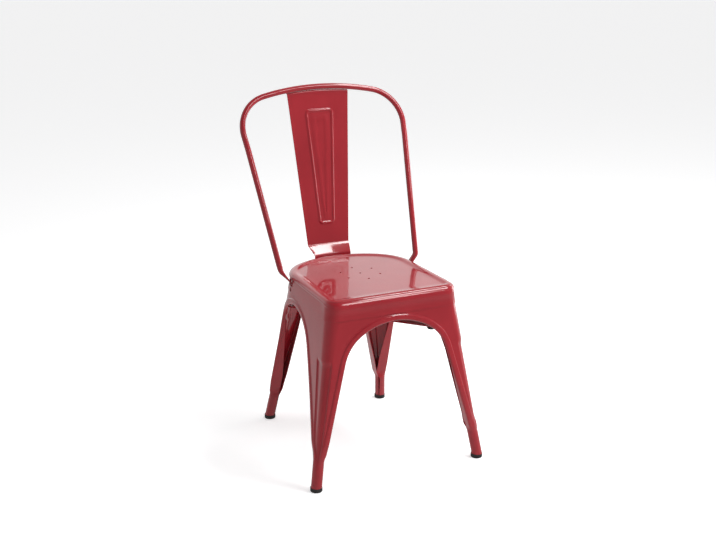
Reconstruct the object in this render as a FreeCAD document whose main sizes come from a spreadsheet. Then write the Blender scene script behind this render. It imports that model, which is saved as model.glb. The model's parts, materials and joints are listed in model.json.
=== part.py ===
import FreeCAD, Part
import math
import os
import re

import Sketcher

# Stackable bistro chair of pressed sheet steel, with a bent tube back.
# Millimetres, +Z up, the chair faces -Y, and +X is at the right of a person who looks at its front.
# The sizes are measured from a point on the floor on the chair's middle plane, and every
# sub-part is then placed so that the origin lies under the middle of the chair's full depth.

Vector = FreeCAD.Vector
doc = FreeCAD.newDocument("bistro_chair")

# Driving dimensions
SIZES = [
    ("sheet", 1.5, "thickness of the pressed sheet"),
    ("nest_gap", 0.2, "gap between nested pressings"),
    ("seam_gap", 0.4, "gap between two pressings that meet edge to edge"),
    ("fit_gap", 0.3, "clearance around stems, shanks and tabs"),
    ("seat_height", 433.0, "floor to the top of the seat's rim"),
    ("dish_depth", 6.5, "seat panel below the rim"),
    ("dish_inset", 17.0, "width of the rim round the seat panel"),
    ("rim_height", 12.0, "rim, down to the crease above the skirt"),
    ("rim_overhang", 2.5, "rim past the skirt"),
    ("rim_roll", 6.0, "radius of the rim's outer roll"),
    ("rim_inner_roll", 4.0, "radius of the rim's inner roll"),
    ("skirt_height", 34.0, "crease to the skirt's lower edge"),
    ("drain_radius", 2.75, "radius of the seat's drain holes"),
    ("drain_circle", 47.6, "centre hole to the other drain holes"),
    ("drain_centre", 9.6, "drain pattern behind the frame's zero"),
    ("seat_front", 175.5, "seat front edge at the crease"),
    ("seat_half_width", 160.9, "half the seat's width at its front corners"),
    ("front_corner", 28.0, "corner radius at the front of the seat"),
    ("seat_rear", 171.6, "seat rear edge at the crease"),
    ("rear_corner", 110.0, "radius of the seat's rear corners"),
    ("rear_corner_x", 46.0, "centre of the rear corner, sideways"),
    ("rear_corner_y", 48.0, "centre of the rear corner, backwards"),
    ("front_foot_x", 211.0, "front foot centre, sideways"),
    ("front_foot_y", 205.0, "front foot centre, forwards"),
    ("rear_foot_x", 159.0, "rear foot centre, sideways"),
    ("rear_foot_y", 223.0, "rear foot centre, backwards"),
    ("floor_rear", 258.0, "line of the rear pressings, carried down to the floor"),
    ("foot_radius", 13.2, "outer radius of the rolled foot at its lower end"),
    ("ankle_radius", 12.0, "outer radius of the rolled foot at its upper end"),
    ("ankle_height", 84.0, "top of the rolled foot"),
    ("front_ankle_turn", 20.0, "front ankle's seat in the leg's corner, degrees"),
    ("rear_ankle_turn", 49.0, "rear ankle's seat in the leg's corner, degrees"),
    ("flange_end", 70.0, "height where the leg's flanges end"),
    ("foot_slit", 1.6, "width of the seam along the rolled foot"),
    ("glide_height", 10.0, "visible height of the rubber foot"),
    ("glide_radius", 14.0, "outer radius of the rubber foot"),
    ("glide_chamfer", 1.2, "chamfer at the bottom of the rubber foot"),
    ("glide_stem", 22.0, "length of the rubber stem in the foot"),
    ("lip_top", 4.0, "depth of the pressed lip at the seat"),
    ("lip_floor", 28.0, "depth of the pressed lip, carried down to the floor"),
    ("front_arch_drop", 60.0, "top of the front arch under the seat's rim"),
    ("front_arch_radius", 160.0, "radius at the top of the front arch"),
    ("front_arch_shoulder", 96.0, "radius at the front arch's shoulder"),
    ("front_arch_spread", 191.5, "half width of the front arch at the flange end"),
    ("front_arch_taper", 4.4, "lean of the front arch's leg edge against the leg's corner, degrees"),
    ("side_arch_drop", 72.0, "top of the side arch under the seat's rim"),
    ("side_arch_centre", 38.0, "crown of the side arch behind the frame's zero"),
    ("side_arch_front_radius", 120.0, "radius of the front half of the side arch"),
    ("side_arch_front_taper", 20.7, "lean of its front leg edge against the leg's corner, degrees"),
    ("side_arch_rear_radius", 84.0, "radius of the rear half of the side arch"),
    ("side_arch_rear_taper", -2.6, "lean of its rear leg edge against the leg's corner, degrees"),
    ("rear_arch_drop", 72.0, "top of the rear arch under the seat's rim"),
    ("rear_arch_radius", 81.0, "radius of the rear arch"),
    ("rear_arch_taper", -0.6, "lean of the rear arch's leg edge against the leg's corner, degrees"),
    ("flute_depth", 3.0, "depth of the recess down each leg's corner"),
    ("flute_drop", 131.0, "top of the recess under the seat's rim"),
    ("flute_fade", 16.0, "length over which the recess fades at its ends"),
    ("front_flute_start", -82.0, "front edge of the front legs' recess round the corner, degrees"),
    ("flute_run_low", 7.0, "the front legs' recess along the side face at its foot"),
    ("flute_run_high", 26.0, "the front legs' recess along the side face at its top"),
    ("rear_flute_start", 16.0, "side edge of the rear legs' recess round the corner, degrees"),
    ("rear_flute_end", 64.0, "rear edge of the rear legs' recess round the corner, degrees"),
    ("tube_radius", 7.0, "outer radius of the back tube"),
    ("tube_wall", 1.5, "wall of the back tube"),
    ("hoop_low_x", 182.9, "back tube at its low height, sideways"),
    ("hoop_low_y", 81.6, "back tube at its low height, backwards"),
    ("hoop_low_rise", 37.0, "low height on the back tube's leg, over the seat's rim"),
    ("hoop_high_x", 213.1, "back tube at its high height, sideways"),
    ("hoop_high_y", 207.6, "back tube at its high height, backwards"),
    ("hoop_high_rise", 317.0, "high height on the back tube's leg, over the seat's rim"),
    ("hoop_bend_rise", 279.0, "bend where the back tube leans further back, over the seat's rim"),
    ("hoop_bend_radius", 260.0, "radius of that bend"),
    ("hoop_top_rise", 408.0, "middle of the back tube at its top, over the seat's rim"),
    ("hoop_top_y", 260.0, "back tube at its top, backwards"),
    ("hoop_top_radius", 638.0, "radius of the tube's top arch"),
    ("hoop_shoulder", 88.0, "radius of the tube's shoulders"),
    ("tab_thickness", 3.2, "thickness of the back tube's flattened end"),
    ("tab_width", 20.0, "width of the back tube's flattened end"),
    ("tab_length", 27.0, "flattened end below the notch's sill"),
    ("tab_turn_rise", 22.0, "bend where the back tube turns in, over the seat's rim"),
    ("tab_blend", 24.0, "length over which the tube is pressed flat"),
    ("tab_lift", 1.5, "bend of the flattened end above the notch's sill"),
    ("notch_width", 26.0, "width of the skirt's notch for the tube's end"),
    ("notch_height", 19.0, "height of that notch"),
    ("slat_top_half", 81.4, "half the slat's width at its top"),
    ("slat_bend_rise", 23.0, "slat's lower bend over the seat's rim"),
    ("slat_bend_half", 55.6, "half the slat's width at that bend"),
    ("slat_bend_y", 197.0, "slat at that bend, backwards"),
    ("slat_lean", 9.1, "backward lean of the slat, degrees"),
    ("slat_low_rise", 3.0, "slat's lowest bend over the seat's rim"),
    ("slat_end_drop", 34.0, "lower edge of the slat's flange under the seat's rim"),
    ("slat_roll", 4.0, "outer radius of the slat's rolled top edge"),
    ("facet_spread", 1.25, "wall of the slat's slanting strip, cut level, against its sheet"),
    ("rim_gap", 0.4, "gap between the slat and the seat's rim"),
    ("slat_seat_half", 48.5, "half the slat's width at the seat"),
    ("slat_hem", 7.0, "length of the slat's top edge, bent back under the tube"),
    ("bead_width", 8.5, "width of the slat's pressed bead"),
    ("bead_depth", 1.6, "depth of the slat's pressed bead"),
    ("bead_top_rise", 350.5, "top of the slat's bead over the seat's rim"),
    ("bead_bottom_rise", 75.0, "bottom of the slat's bead over the seat's rim"),
    ("bead_top_half", 34.0, "half the bead's width at its top"),
    ("bead_bottom_half", 18.0, "half the bead's width at its bottom"),
    ("bead_corner", 8.0, "corner radius of the bead's track"),
    ("slat_rivet_x", 27.0, "slat rivets, sideways"),
    ("slat_rivet_drop", 26.0, "slat rivets under the seat's rim"),
    ("rivet_radius", 2.4, "radius of a rivet's shank"),
    ("rivet_head", 4.6, "radius of a rivet's head"),
    ("rivet_head_height", 1.8, "height of a rivet's head"),
    ("bar_drop", 111.0, "underside of the lower brace bar under the seat's rim"),
    ("bar_width", 20.0, "width of a brace bar"),
    ("bar_thickness", 3.0, "thickness of a brace bar"),
    ("bar_tab", 20.0, "height of a brace bar's bent end"),
    ("bar_gap", 0.6, "gap between a brace bar's bent end and the leg"),
    ("pad_radius", 10.0, "radius of a stacking pad"),
    ("pad_height", 6.5, "stacking pad below the lower brace bar"),
    ("pad_stem", 3.5, "radius of a stacking pad's stem"),
    ("pad_knob", 4.6, "radius of the knob that holds the stem"),
    ("pad_reach", 64.0, "stacking pad's centre from the corner of the leg"),
    ("screw_radius", 2.5, "radius of the back tube's screw"),
    ("screw_head", 4.5, "radius of its countersunk head"),
    ("screw_drop", 8.5, "that screw below the notch's sill"),
    ("nut_width", 8.0, "width of its nut across the flats"),
    ("nut_height", 4.0, "height of its nut"),
]

sheet = doc.addObject("Spreadsheet::Sheet", "Sizes")
for row, (alias, number, meaning) in enumerate(SIZES, start=1):
    sheet.set("A%d" % row, meaning)
    sheet.set("B%d" % row, str(number))
    sheet.setAlias("B%d" % row, alias)
doc.recompute()


def size(alias):
    """The number in the sheet's cell of that alias."""
    return float(sheet.get(alias))


def over_seat(alias):
    """Height of a place that the sheet gives as a rise over the seat's rim."""
    return size("seat_height") + size(alias)


def under_seat(alias):
    """Height of a place that the sheet gives as a drop under the seat's rim."""
    return size("seat_height") - size(alias)


# Levels of the pressed skin
# The skirt of the seat and the legs' outer faces are one skin, ruled between two outlines:
# one on the floor and one at the crease under the rim. An inset moves a pressing inwards.

crease = size("seat_height") - size("rim_height")
skirt_low = crease - size("skirt_height")
leg_inset = size("sheet") + size("nest_gap")
inner_roll = size("rim_roll") - size("sheet")
roll_offset = inner_roll - (leg_inset + size("rim_overhang") - size("sheet"))
apron_top = (size("seat_height") - size("rim_roll") - size("nest_gap")
             + math.sqrt(inner_roll ** 2 - roll_offset ** 2))


def tangent_angle(first, first_radius, second, second_radius):
    """Angle of the outward normal of the line that touches two circles on their right side."""
    gap = second - first
    turn = math.asin((first_radius - second_radius) / gap.Length)
    return math.atan2(gap.y, gap.x) - math.pi / 2 + turn


def level(height, front_centre, front_radius, rear_centre, rear_radius, rear):
    """One outline of the skin, as its corner circles and the reach of its rear arc."""
    return {"z": height, "front": front_centre, "front_radius": front_radius,
            "rear": rear_centre, "rear_radius": rear_radius, "reach": rear}


def inset_level(base, inset):
    """The same outline moved inwards by a distance that its corners have room for."""
    return level(base["z"], base["front"], base["front_radius"] - inset,
                 base["rear"], base["rear_radius"] - inset, base["reach"] - inset)


CREASE = level(crease,
               Vector(size("seat_half_width") - size("front_corner"),
                      size("front_corner") - size("seat_front"), 0),
               size("front_corner"),
               Vector(size("rear_corner_x"), size("rear_corner_y"), 0),
               size("rear_corner"), size("seat_rear"))
FLOOR = level(0.0,
              Vector(size("front_foot_x"), -size("front_foot_y"), 0),
              size("foot_radius") + leg_inset,
              Vector(size("rear_foot_x"), size("rear_foot_y"), 0),
              size("foot_radius") + leg_inset, size("floor_rear"))


def between(low, high, height):
    """The outline at a height between two levels, or past them on the same lines."""
    share = (height - low["z"]) / (high["z"] - low["z"])

    def mix(a, b):
        return a * (1 - share) + b * share

    return level(height, mix(low["front"], high["front"]), mix(low["front_radius"], high["front_radius"]),
                 mix(low["rear"], high["rear"]), mix(low["rear_radius"], high["rear_radius"]),
                 mix(low["reach"], high["reach"]))


def skin_level(height):
    """The skin's outline at any height."""
    return between(FLOOR, CREASE, height)


def rear_arc(outline):
    """Centre, radius and end angle of the arc across the outline's rear."""
    side = outline["rear"].x
    depth = outline["reach"] - outline["rear"].y
    small = outline["rear_radius"]
    radius = (side ** 2 + depth ** 2 - small ** 2) / (2 * (depth - small))
    centre = Vector(0, outline["reach"] - radius, 0)
    toward = outline["rear"] - centre
    return centre, radius, math.atan2(toward.y, toward.x)


def on_circle(centre, radius, angle, height):
    return Vector(centre.x + radius * math.cos(angle), centre.y + radius * math.sin(angle), height)


def outline_edges(outline):
    """The closed outline as eight edges, anticlockwise from the front's left end."""
    z = outline["z"]
    front, front_radius = outline["front"], outline["front_radius"]
    rear, rear_radius = outline["rear"], outline["rear_radius"]
    side_angle = tangent_angle(front, front_radius, rear, rear_radius)
    centre, radius, rear_angle = rear_arc(outline)

    def mirrored(point):
        return Vector(-point.x, point.y, point.z)

    front_end = on_circle(front, front_radius, -math.pi / 2, z)
    front_middle = on_circle(front, front_radius, (side_angle - math.pi / 2) / 2, z)
    side_start = on_circle(front, front_radius, side_angle, z)
    side_end = on_circle(rear, rear_radius, side_angle, z)
    rear_middle = on_circle(rear, rear_radius, (side_angle + rear_angle) / 2, z)
    rear_end = on_circle(rear, rear_radius, rear_angle, z)
    rear_top = on_circle(centre, radius, math.pi / 2, z)
    return [
        Part.LineSegment(mirrored(front_end), front_end),
        Part.Arc(front_end, front_middle, side_start),
        Part.LineSegment(side_start, side_end),
        Part.Arc(side_end, rear_middle, rear_end),
        Part.Arc(rear_end, rear_top, mirrored(rear_end)),
        Part.Arc(mirrored(rear_end), mirrored(rear_middle), mirrored(side_end)),
        Part.LineSegment(mirrored(side_end), mirrored(side_start)),
        Part.Arc(mirrored(side_start), mirrored(front_middle), mirrored(front_end)),
    ]


def outline_wire(outline):
    return Part.Wire([edge.toShape() for edge in outline_edges(outline)])


def skin_block(low, high, inset):
    """Solid inside the skin between two heights, with its outline moved inwards."""
    wires = [outline_wire(inset_level(skin_level(height), inset)) for height in (low, high)]
    return Part.makeLoft(wires, True, True)


def lip_level(height):
    """The outline on which the pressed lips end, deeper towards the floor."""
    outline = skin_level(height)
    share = height / crease
    depth = leg_inset + size("lip_floor") * (1 - share) + size("lip_top") * share
    corner = 1.0
    front_move = depth - (outline["front_radius"] - corner)
    front = outline["front"]
    if front_move > 0:
        front = front + Vector(-front_move, front_move, 0)
    front_radius = max(outline["front_radius"] - depth, corner)
    rear_move = depth - (outline["rear_radius"] - corner)
    rear = outline["rear"]
    if rear_move > 0:
        rear = rear + Vector(-rear_move, -rear_move, 0)
    rear_radius = max(outline["rear_radius"] - depth, corner)
    return level(height, front, front_radius, rear, rear_radius, outline["reach"] - depth)


# Arches between the legs, each drawn in its own upright plane as across and up


def corner_lean(kind, axis):
    """Lean of a leg's corner from vertical, seen along or across the chair."""
    return math.atan(abs(getattr(FLOOR[kind], axis) - getattr(CREASE[kind], axis)) / crease)


def arch_half(crown, crown_across, radius, angle, floor, side, grow):
    """Half of an arch with one radius: its arc's end and its foot, both in (across, up)."""
    radius = radius + grow
    crown = crown + grow
    end = (crown_across + side * radius * math.cos(angle), crown - radius + radius * math.sin(angle))
    foot = (end[0] + side * (end[1] - floor) * math.tan(angle), floor)
    middle_angle = (angle + math.pi / 2) / 2
    middle = (crown_across + side * radius * math.cos(middle_angle),
              crown - radius + radius * math.sin(middle_angle))
    return middle, end, foot, (crown_across, crown)


def front_arch_half(floor, side, grow):
    """Half of the front arch, with a wide crown arc, a shoulder arc and a straight leg edge."""
    radius = size("front_arch_radius") + grow
    shoulder = size("front_arch_shoulder") + grow
    crown = under_seat("front_arch_drop") + grow
    lean = math.radians(size("front_arch_taper")) + corner_lean("front", "x")
    centre = (0.0, crown - radius)
    outward = (math.cos(lean), math.sin(lean))
    edge_at = (size("front_arch_spread"), size("flange_end"))
    reach = edge_at[0] * outward[0] + edge_at[1] * outward[1] + grow
    # The shoulder's centre is one shoulder radius inside the leg edge and touches the crown arc
    start = (centre[0] * outward[0] + centre[1] * outward[1])
    across = reach - shoulder - start
    along = math.sqrt((radius - shoulder) ** 2 - across ** 2)
    upward = (-outward[1], outward[0])
    middle = (centre[0] + across * outward[0] + along * upward[0],
              centre[1] + across * outward[1] + along * upward[1])
    touch = math.atan2(middle[1] - centre[1], middle[0] - centre[0])

    def at(point, length, angle):
        return (side * (point[0] + length * math.cos(angle)), point[1] + length * math.sin(angle))

    crown_middle = at(centre, radius, (touch + math.pi / 2) / 2)
    crown_end = at(centre, radius, touch)
    shoulder_middle = at(middle, shoulder, (touch + lean) / 2)
    shoulder_end = at(middle, shoulder, lean)
    foot = (shoulder_end[0] + side * (shoulder_end[1] - floor) * math.tan(lean), floor)
    return (0.0, crown), crown_middle, crown_end, shoulder_middle, shoulder_end, foot


# The prisms that cut the arches start below the floor and run well past the pressings
cut_floor = -20.0
cut_margin = 60.0


def front_opening(grow):
    """The front arch as a solid that runs through the front pressings."""
    start_y = -(size("front_foot_y") + cut_margin)

    def place(point):
        return Vector(point[0], start_y, point[1])

    edges = []
    feet = []
    for side in (-1, 1):
        crown, crown_middle, crown_end, shoulder_middle, shoulder_end, foot = front_arch_half(
            cut_floor, side, grow)
        run = [Part.Arc(place(crown), place(crown_middle), place(crown_end)),
               Part.Arc(place(crown_end), place(shoulder_middle), place(shoulder_end)),
               Part.LineSegment(place(shoulder_end), place(foot))]
        edges.append(run)
        feet.append(place(foot))
    loop = edges[0] + edges[1] + [Part.LineSegment(feet[0], feet[1])]
    wire = Part.Wire(Part.__sortEdges__([edge.toShape() for edge in loop]))
    depth = size("front_foot_y") - size("seat_front") + 2 * cut_margin
    return Part.Face(wire).extrude(Vector(0, depth, 0))


def round_opening(front_half, rear_half, place, sweep):
    """An arch with one arc on each side of its crown, as a solid along the sweep."""
    loop = []
    feet = []
    for middle, end, foot, crown in (front_half, rear_half):
        loop.append(Part.Arc(place(crown), place(middle), place(end)).toShape())
        loop.append(Part.LineSegment(place(end), place(foot)).toShape())
        feet.append(place(foot))
    loop.append(Part.LineSegment(feet[0], feet[1]).toShape())
    wire = Part.Wire(Part.__sortEdges__(loop))
    return Part.Face(wire).extrude(sweep)


def side_opening(grow):
    """The arch at the chair's right side."""
    start_x = size("seat_half_width") - cut_margin

    def place(point):
        return Vector(start_x, point[0], point[1])

    crown, centre = under_seat("side_arch_drop"), size("side_arch_centre")
    front = arch_half(crown, centre, size("side_arch_front_radius"),
                      math.radians(size("side_arch_front_taper")) + corner_lean("front", "y"),
                      cut_floor, -1, grow)
    rear = arch_half(crown, centre, size("side_arch_rear_radius"),
                     math.radians(size("side_arch_rear_taper")) + corner_lean("rear", "y"),
                     cut_floor, 1, grow)
    width = size("front_foot_x") - size("seat_half_width") + 2 * cut_margin
    return round_opening(front, rear, place, Vector(width, 0, 0))


def rear_opening(grow):
    """The arch at the chair's rear."""
    start_y = size("seat_rear") - cut_margin

    def place(point):
        return Vector(point[0], start_y, point[1])

    lean = math.radians(size("rear_arch_taper")) + corner_lean("rear", "x")
    halves = [arch_half(under_seat("rear_arch_drop"), 0.0, size("rear_arch_radius"), lean,
                        cut_floor, side, grow) for side in (-1, 1)]
    depth = size("floor_rear") - size("seat_rear") + 2 * cut_margin
    return round_opening(halves[0], halves[1], place, Vector(0, depth, 0))


# Flutes: a recess that follows each leg's rounded corner


def corner_wire(kind, height, outside, inside, first, last, run):
    """A thin strip round a leg's corner, between two insets, that can run on along the side."""
    outline = skin_level(height)
    centre = outline[kind]
    radius = outline[kind + "_radius"]
    middle = (first + last) / 2
    outer, inner = radius - outside, radius - inside
    points = [on_circle(centre, reach, angle, height)
              for reach, angle in ((outer, first), (outer, middle), (outer, last),
                                   (inner, last), (inner, middle), (inner, first))]
    along = Vector(-math.sin(last), math.cos(last), 0) * run
    edges = [Part.Arc(points[0], points[1], points[2]), Part.LineSegment(points[2], points[2] + along),
             Part.LineSegment(points[2] + along, points[3] + along),
             Part.LineSegment(points[3] + along, points[3]),
             Part.Arc(points[3], points[4], points[5]), Part.LineSegment(points[5], points[0])]
    return Part.Wire([edge.toShape() for edge in edges])


def flute(kind, grow):
    """The recess as a solid to take away; grow enlarges it by a sheet for the inner face."""
    bottom, top = size("ankle_height"), under_seat("flute_drop")
    fade, full = size("flute_fade"), size("flute_depth")
    past = leg_inset - fade / 8
    wires = []
    for height, recess in ((bottom - 2, -full * 2 / fade), (bottom + fade, full),
                           (top - fade, full), (top + 2, -full * 2 / fade)):
        outline = skin_level(height)
        share = (height - bottom) / (top - bottom)
        depth = leg_inset + recess + grow
        side = tangent_angle(outline["front"], outline["front_radius"],
                             outline["rear"], outline["rear_radius"])
        spread = grow / (outline[kind + "_radius"] - leg_inset)
        if kind == "front":
            first, last = math.radians(size("front_flute_start")), side
            run = size("flute_run_low") * (1 - share) + size("flute_run_high") * share + grow
        else:
            first, last = math.radians(size("rear_flute_start")), math.radians(size("rear_flute_end"))
            last = last + spread
            run = 0.5
        wires.append(corner_wire(kind, height, past, depth, first - spread, last, run))
    return Part.makeLoft(wires, True, True)


# Rolled feet


def ankle(kind):
    """Foot centre on the floor and the tube's axis at the top of the rolled foot."""
    turn = math.radians(size(kind + "_ankle_turn"))
    top = skin_level(size("ankle_height"))
    slack = top[kind + "_radius"] - leg_inset - size("ankle_radius") - size("sheet") / 2
    upper = on_circle(top[kind], slack, turn, size("ankle_height"))
    lower = Vector(FLOOR[kind].x, FLOOR[kind].y, 0)
    return lower, upper


def foot_cone(kind, low, high, inset):
    """Part of the rolled foot's cone between two heights."""
    lower, upper = ankle(kind)
    wires = []
    for height in (low, high):
        share = height / size("ankle_height")
        centre = lower * (1 - share) + upper * share
        radius = size("foot_radius") * (1 - share) + size("ankle_radius") * share - inset
        wires.append(Part.Wire(Part.makeCircle(radius, Vector(centre.x, centre.y, height))))
    return Part.makeLoft(wires, True, True)


def foot_tube(kind):
    """The rolled foot, open inside, with the seam on its inner side."""
    low, high = size("glide_height"), size("ankle_height")
    tube = foot_cone(kind, low, high, 0).cut(foot_cone(kind, low - 1, high + 1, size("sheet")))
    lower, upper = ankle(kind)
    width = size("foot_slit")
    slit = Part.makeBox(3 * size("foot_radius"), width, high - low + 2, Vector(0, -width / 2, low - 1))
    inward = math.degrees(math.atan2(-lower.y, -lower.x))
    slit.rotate(Vector(0, 0, 0), Vector(0, 0, 1), inward)
    slit.translate((lower + upper) / 2 - Vector(0, 0, size("ankle_height") / 2))
    return tube.cut(slit)


# Places where other pieces meet the skin


def rear_y(x, height, inset):
    """Backward reach of the skin across the chair's rear."""
    centre, radius, end = rear_arc(inset_level(skin_level(height), inset))
    return centre.y + math.sqrt(radius ** 2 - x ** 2)


# The back tube's low run, from which its turned-in end starts
hoop_low_point = Vector(size("hoop_low_x"), size("hoop_low_y"), over_seat("hoop_low_rise"))
hoop_high_point = Vector(size("hoop_high_x"), size("hoop_high_y"), over_seat("hoop_high_rise"))
leg_run = hoop_high_point - hoop_low_point
leg_direction = leg_run * (1 / leg_run.Length)
tube_turn = hoop_low_point + leg_run * ((size("tab_turn_rise") - size("hoop_low_rise")) / leg_run.z)

# Direction in which the skin faces at the tube's end, square to the rear corner's arc
sill = crease - size("notch_height")
screw_height = sill - size("screw_drop")
screw_level = skin_level(screw_height)
tab_away = tube_turn - screw_level["rear"]
tab_angle = math.atan2(tab_away.y, tab_away.x)
tab_out = Vector(math.cos(tab_angle), math.sin(tab_angle), 0)
screw_skin = on_circle(screw_level["rear"], screw_level["rear_radius"], tab_angle, screw_height)


def mirror(shape):
    return shape.mirror(Vector(0, 0, 0), Vector(1, 0, 0))


def notch(side, height):
    """The notch in the side of the skirt, and in the leg behind it, for the tube's flat end."""
    depth, width = 40.0, size("notch_width")
    box = Part.makeBox(depth, width, height, Vector(-depth / 2, -width / 2, sill))
    box.rotate(Vector(0, 0, 0), Vector(0, 0, 1), math.degrees(tab_angle))
    box.translate(Vector(screw_skin.x, screw_skin.y, 0))
    return box if side > 0 else mirror(box)


def screw_hole(side, radius, start, length):
    """A round hole through the skin on the screw's axis."""
    hole = Part.makeCylinder(radius, length, screw_skin + tab_out * start, tab_out * -1)
    return hole if side > 0 else mirror(hole)


def countersink(side):
    """The seat of the screw's head, with a clearance round it."""
    head = size("screw_head") + size("fit_gap")
    shank = size("screw_radius") + size("fit_gap")
    cone = Part.makeCone(head + 1, shank, head + 1 - shank, screw_skin + tab_out, tab_out * -1)
    return cone if side > 0 else mirror(cone)


rivet_height = under_seat("slat_rivet_drop")
rivet_point = Vector(size("slat_rivet_x"), rear_y(size("slat_rivet_x"), rivet_height, 0), rivet_height)
rivet_centre = rear_arc(skin_level(rivet_height))[0]
rear_slope = (FLOOR["reach"] - CREASE["reach"]) / crease
rivet_flat = (rivet_point - Vector(0, rivet_centre.y, rivet_height)).normalize()
rivet_out = (rivet_flat + Vector(0, 0, rear_slope)).normalize()


def rivet_hole(side, radius):
    """A round hole through the skin on a slat rivet's axis."""
    hole = Part.makeCylinder(radius, 30, rivet_point - rivet_out * 15, rivet_out)
    return hole if side > 0 else mirror(hole)


# Seat pan


def edges_at(shape, height, tolerance=0.01):
    """The shape's edges that lie flat at one height."""
    return [edge for edge in shape.Edges
            if abs(edge.BoundBox.ZMin - height) < tolerance and abs(edge.BoundBox.ZMax - height) < tolerance]


def flat_block(outline, low, high):
    flat = dict(outline, z=low)
    return Part.Face(outline_wire(flat)).extrude(Vector(0, 0, high - low))


def pan_form(inset, top, dish_top, dish_inset):
    """Solid form of the pan's outside, or of its hollow when moved inwards by a sheet."""
    rim = inset_level(CREASE, inset - size("rim_overhang"))
    roll = size("rim_roll") - inset
    block = flat_block(rim, crease + inset, top)
    block = block.makeFillet(roll, edges_at(block, top))
    skirt = skin_block(skirt_low - inset, crease + inset + 1, inset)
    form = block.fuse(skirt)
    dish = flat_block(inset_level(CREASE, dish_inset), dish_top, top + 5)
    return form.cut(dish).removeSplitter()


def make_seat_pan():
    sheet_size = size("sheet")
    top = size("seat_height")
    dish_top = top - size("dish_depth")
    outside = pan_form(0.0, top, dish_top, size("dish_inset"))
    rim_edges = edges_at(outside, top)
    outside = outside.makeFillet(size("rim_inner_roll"), rim_edges)
    inside = pan_form(sheet_size, top - sheet_size, dish_top - sheet_size,
                      size("dish_inset") - sheet_size)
    pan = outside.cut(inside)
    for ring in range(7):
        angle = math.radians(90 + 60 * ring)
        reach = size("drain_circle") if ring < 6 else 0.0
        place = Vector(reach * math.cos(angle), size("drain_centre") + reach * math.sin(angle), dish_top - 10)
        pan = pan.cut(Part.makeCylinder(size("drain_radius"), 20, place))
    for side in (-1, 1):
        pan = pan.cut(notch(side, size("notch_height")))
        pan = pan.cut(screw_hole(side, size("screw_radius") + size("fit_gap"), 5, 10))
        pan = pan.cut(countersink(side))
        pan = pan.cut(rivet_hole(side, size("rivet_radius") + size("fit_gap") / 3))
    return pan


# Leg pressings


def make_frame():
    """All four legs' sheet on the chair's right side, before they are parted."""
    low, high = size("flange_end"), apron_top
    outer = skin_block(low, high, leg_inset)
    lip_heights = [low - 1, high + 1]
    lip_core = Part.makeLoft([outline_wire(lip_level(height)) for height in lip_heights], True, True)
    ring = outer.cut(lip_core)
    half = Part.makeBox(400, 800, 600, Vector(0, -400, -50))
    ring = ring.common(half)
    hollow = skin_block(low - 5, high + 5, leg_inset + size("sheet"))
    for opening in (front_opening, side_opening, rear_opening):
        ring = ring.cut(opening(0.0))
        hollow = hollow.cut(opening(size("sheet")))
    for kind in ("front", "rear"):
        ring = ring.cut(flute(kind, 0.0))
        hollow = hollow.cut(flute(kind, size("sheet")))
    return ring.cut(hollow)


def make_leg(frame, kind):
    """One right-hand leg: its share of the sheet, with the rolled foot."""
    seam = size("seam_gap") / 2
    if kind == "front":
        share = Part.makeBox(400, 400, 600, Vector(seam, size("side_arch_centre") - seam - 400, -50))
    else:
        share = Part.makeBox(400, 400, 600, Vector(seam, size("side_arch_centre") + seam, -50))
    leg = frame.common(share)
    leg = leg.cut(foot_cone(kind, size("flange_end") - 5, size("ankle_height") + 2, size("sheet")))
    leg = leg.fuse(foot_tube(kind))
    if kind == "rear":
        leg = leg.cut(notch(1, size("notch_height") + size("rim_height")))
        leg = leg.cut(screw_hole(1, size("screw_radius") + size("fit_gap"), 5, 20))
        leg = leg.cut(countersink(1))
        leg = leg.cut(rivet_hole(1, size("rivet_radius") + size("fit_gap") / 3))
    return leg


# Back tube


def unit(vector):
    return vector * (1 / vector.Length)


def hoop_frame():
    """The upper part of the back tube: its plane, corners and arcs, on the right side."""
    bend = hoop_low_point + leg_run * ((size("hoop_bend_rise") - size("hoop_low_rise")) / leg_run.z)
    top = Vector(0, size("hoop_top_y"), over_seat("hoop_top_rise"))
    up = unit(Vector(0, top.y - bend.y, top.z - bend.z))
    height = (top - Vector(0, bend.y, bend.z)).Length
    spread = leg_run.x / math.hypot(leg_run.y, leg_run.z)
    lean = math.atan(spread)
    outward = (math.cos(lean), -math.sin(lean))
    along = (math.sin(lean), math.cos(lean))
    shoulder, wide = size("hoop_shoulder"), size("hoop_top_radius")
    # The shoulder's centre lies one shoulder radius inside the leg and touches the top arc
    offset = bend.x * outward[0] - shoulder
    low = height - wide
    across = offset - low * outward[1]
    rise = math.sqrt((wide - shoulder) ** 2 - across ** 2) + low * along[1]
    centre = (offset * outward[0] + rise * along[0], offset * outward[1] + rise * along[1])
    touch = math.atan2(centre[1] - low, centre[0])

    def place(across_plane, up_plane):
        return Vector(across_plane, bend.y, bend.z) + up * up_plane

    def arc_point(middle, radius, angle):
        return place(middle[0] + radius * math.cos(angle), middle[1] + radius * math.sin(angle))

    top_middle = (0.0, low)
    return {
        "bend": bend,
        "upper": unit(Vector(along[0], up.y * along[1], up.z * along[1])),
        "leg_end": arc_point(centre, shoulder, -lean),
        "shoulder_middle": arc_point(centre, shoulder, (touch - lean) / 2),
        "shoulder_end": arc_point(centre, shoulder, touch),
        "top": arc_point(top_middle, wide, math.pi / 2),
    }


def flip(point):
    return Vector(-point.x, point.y, point.z)


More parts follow.
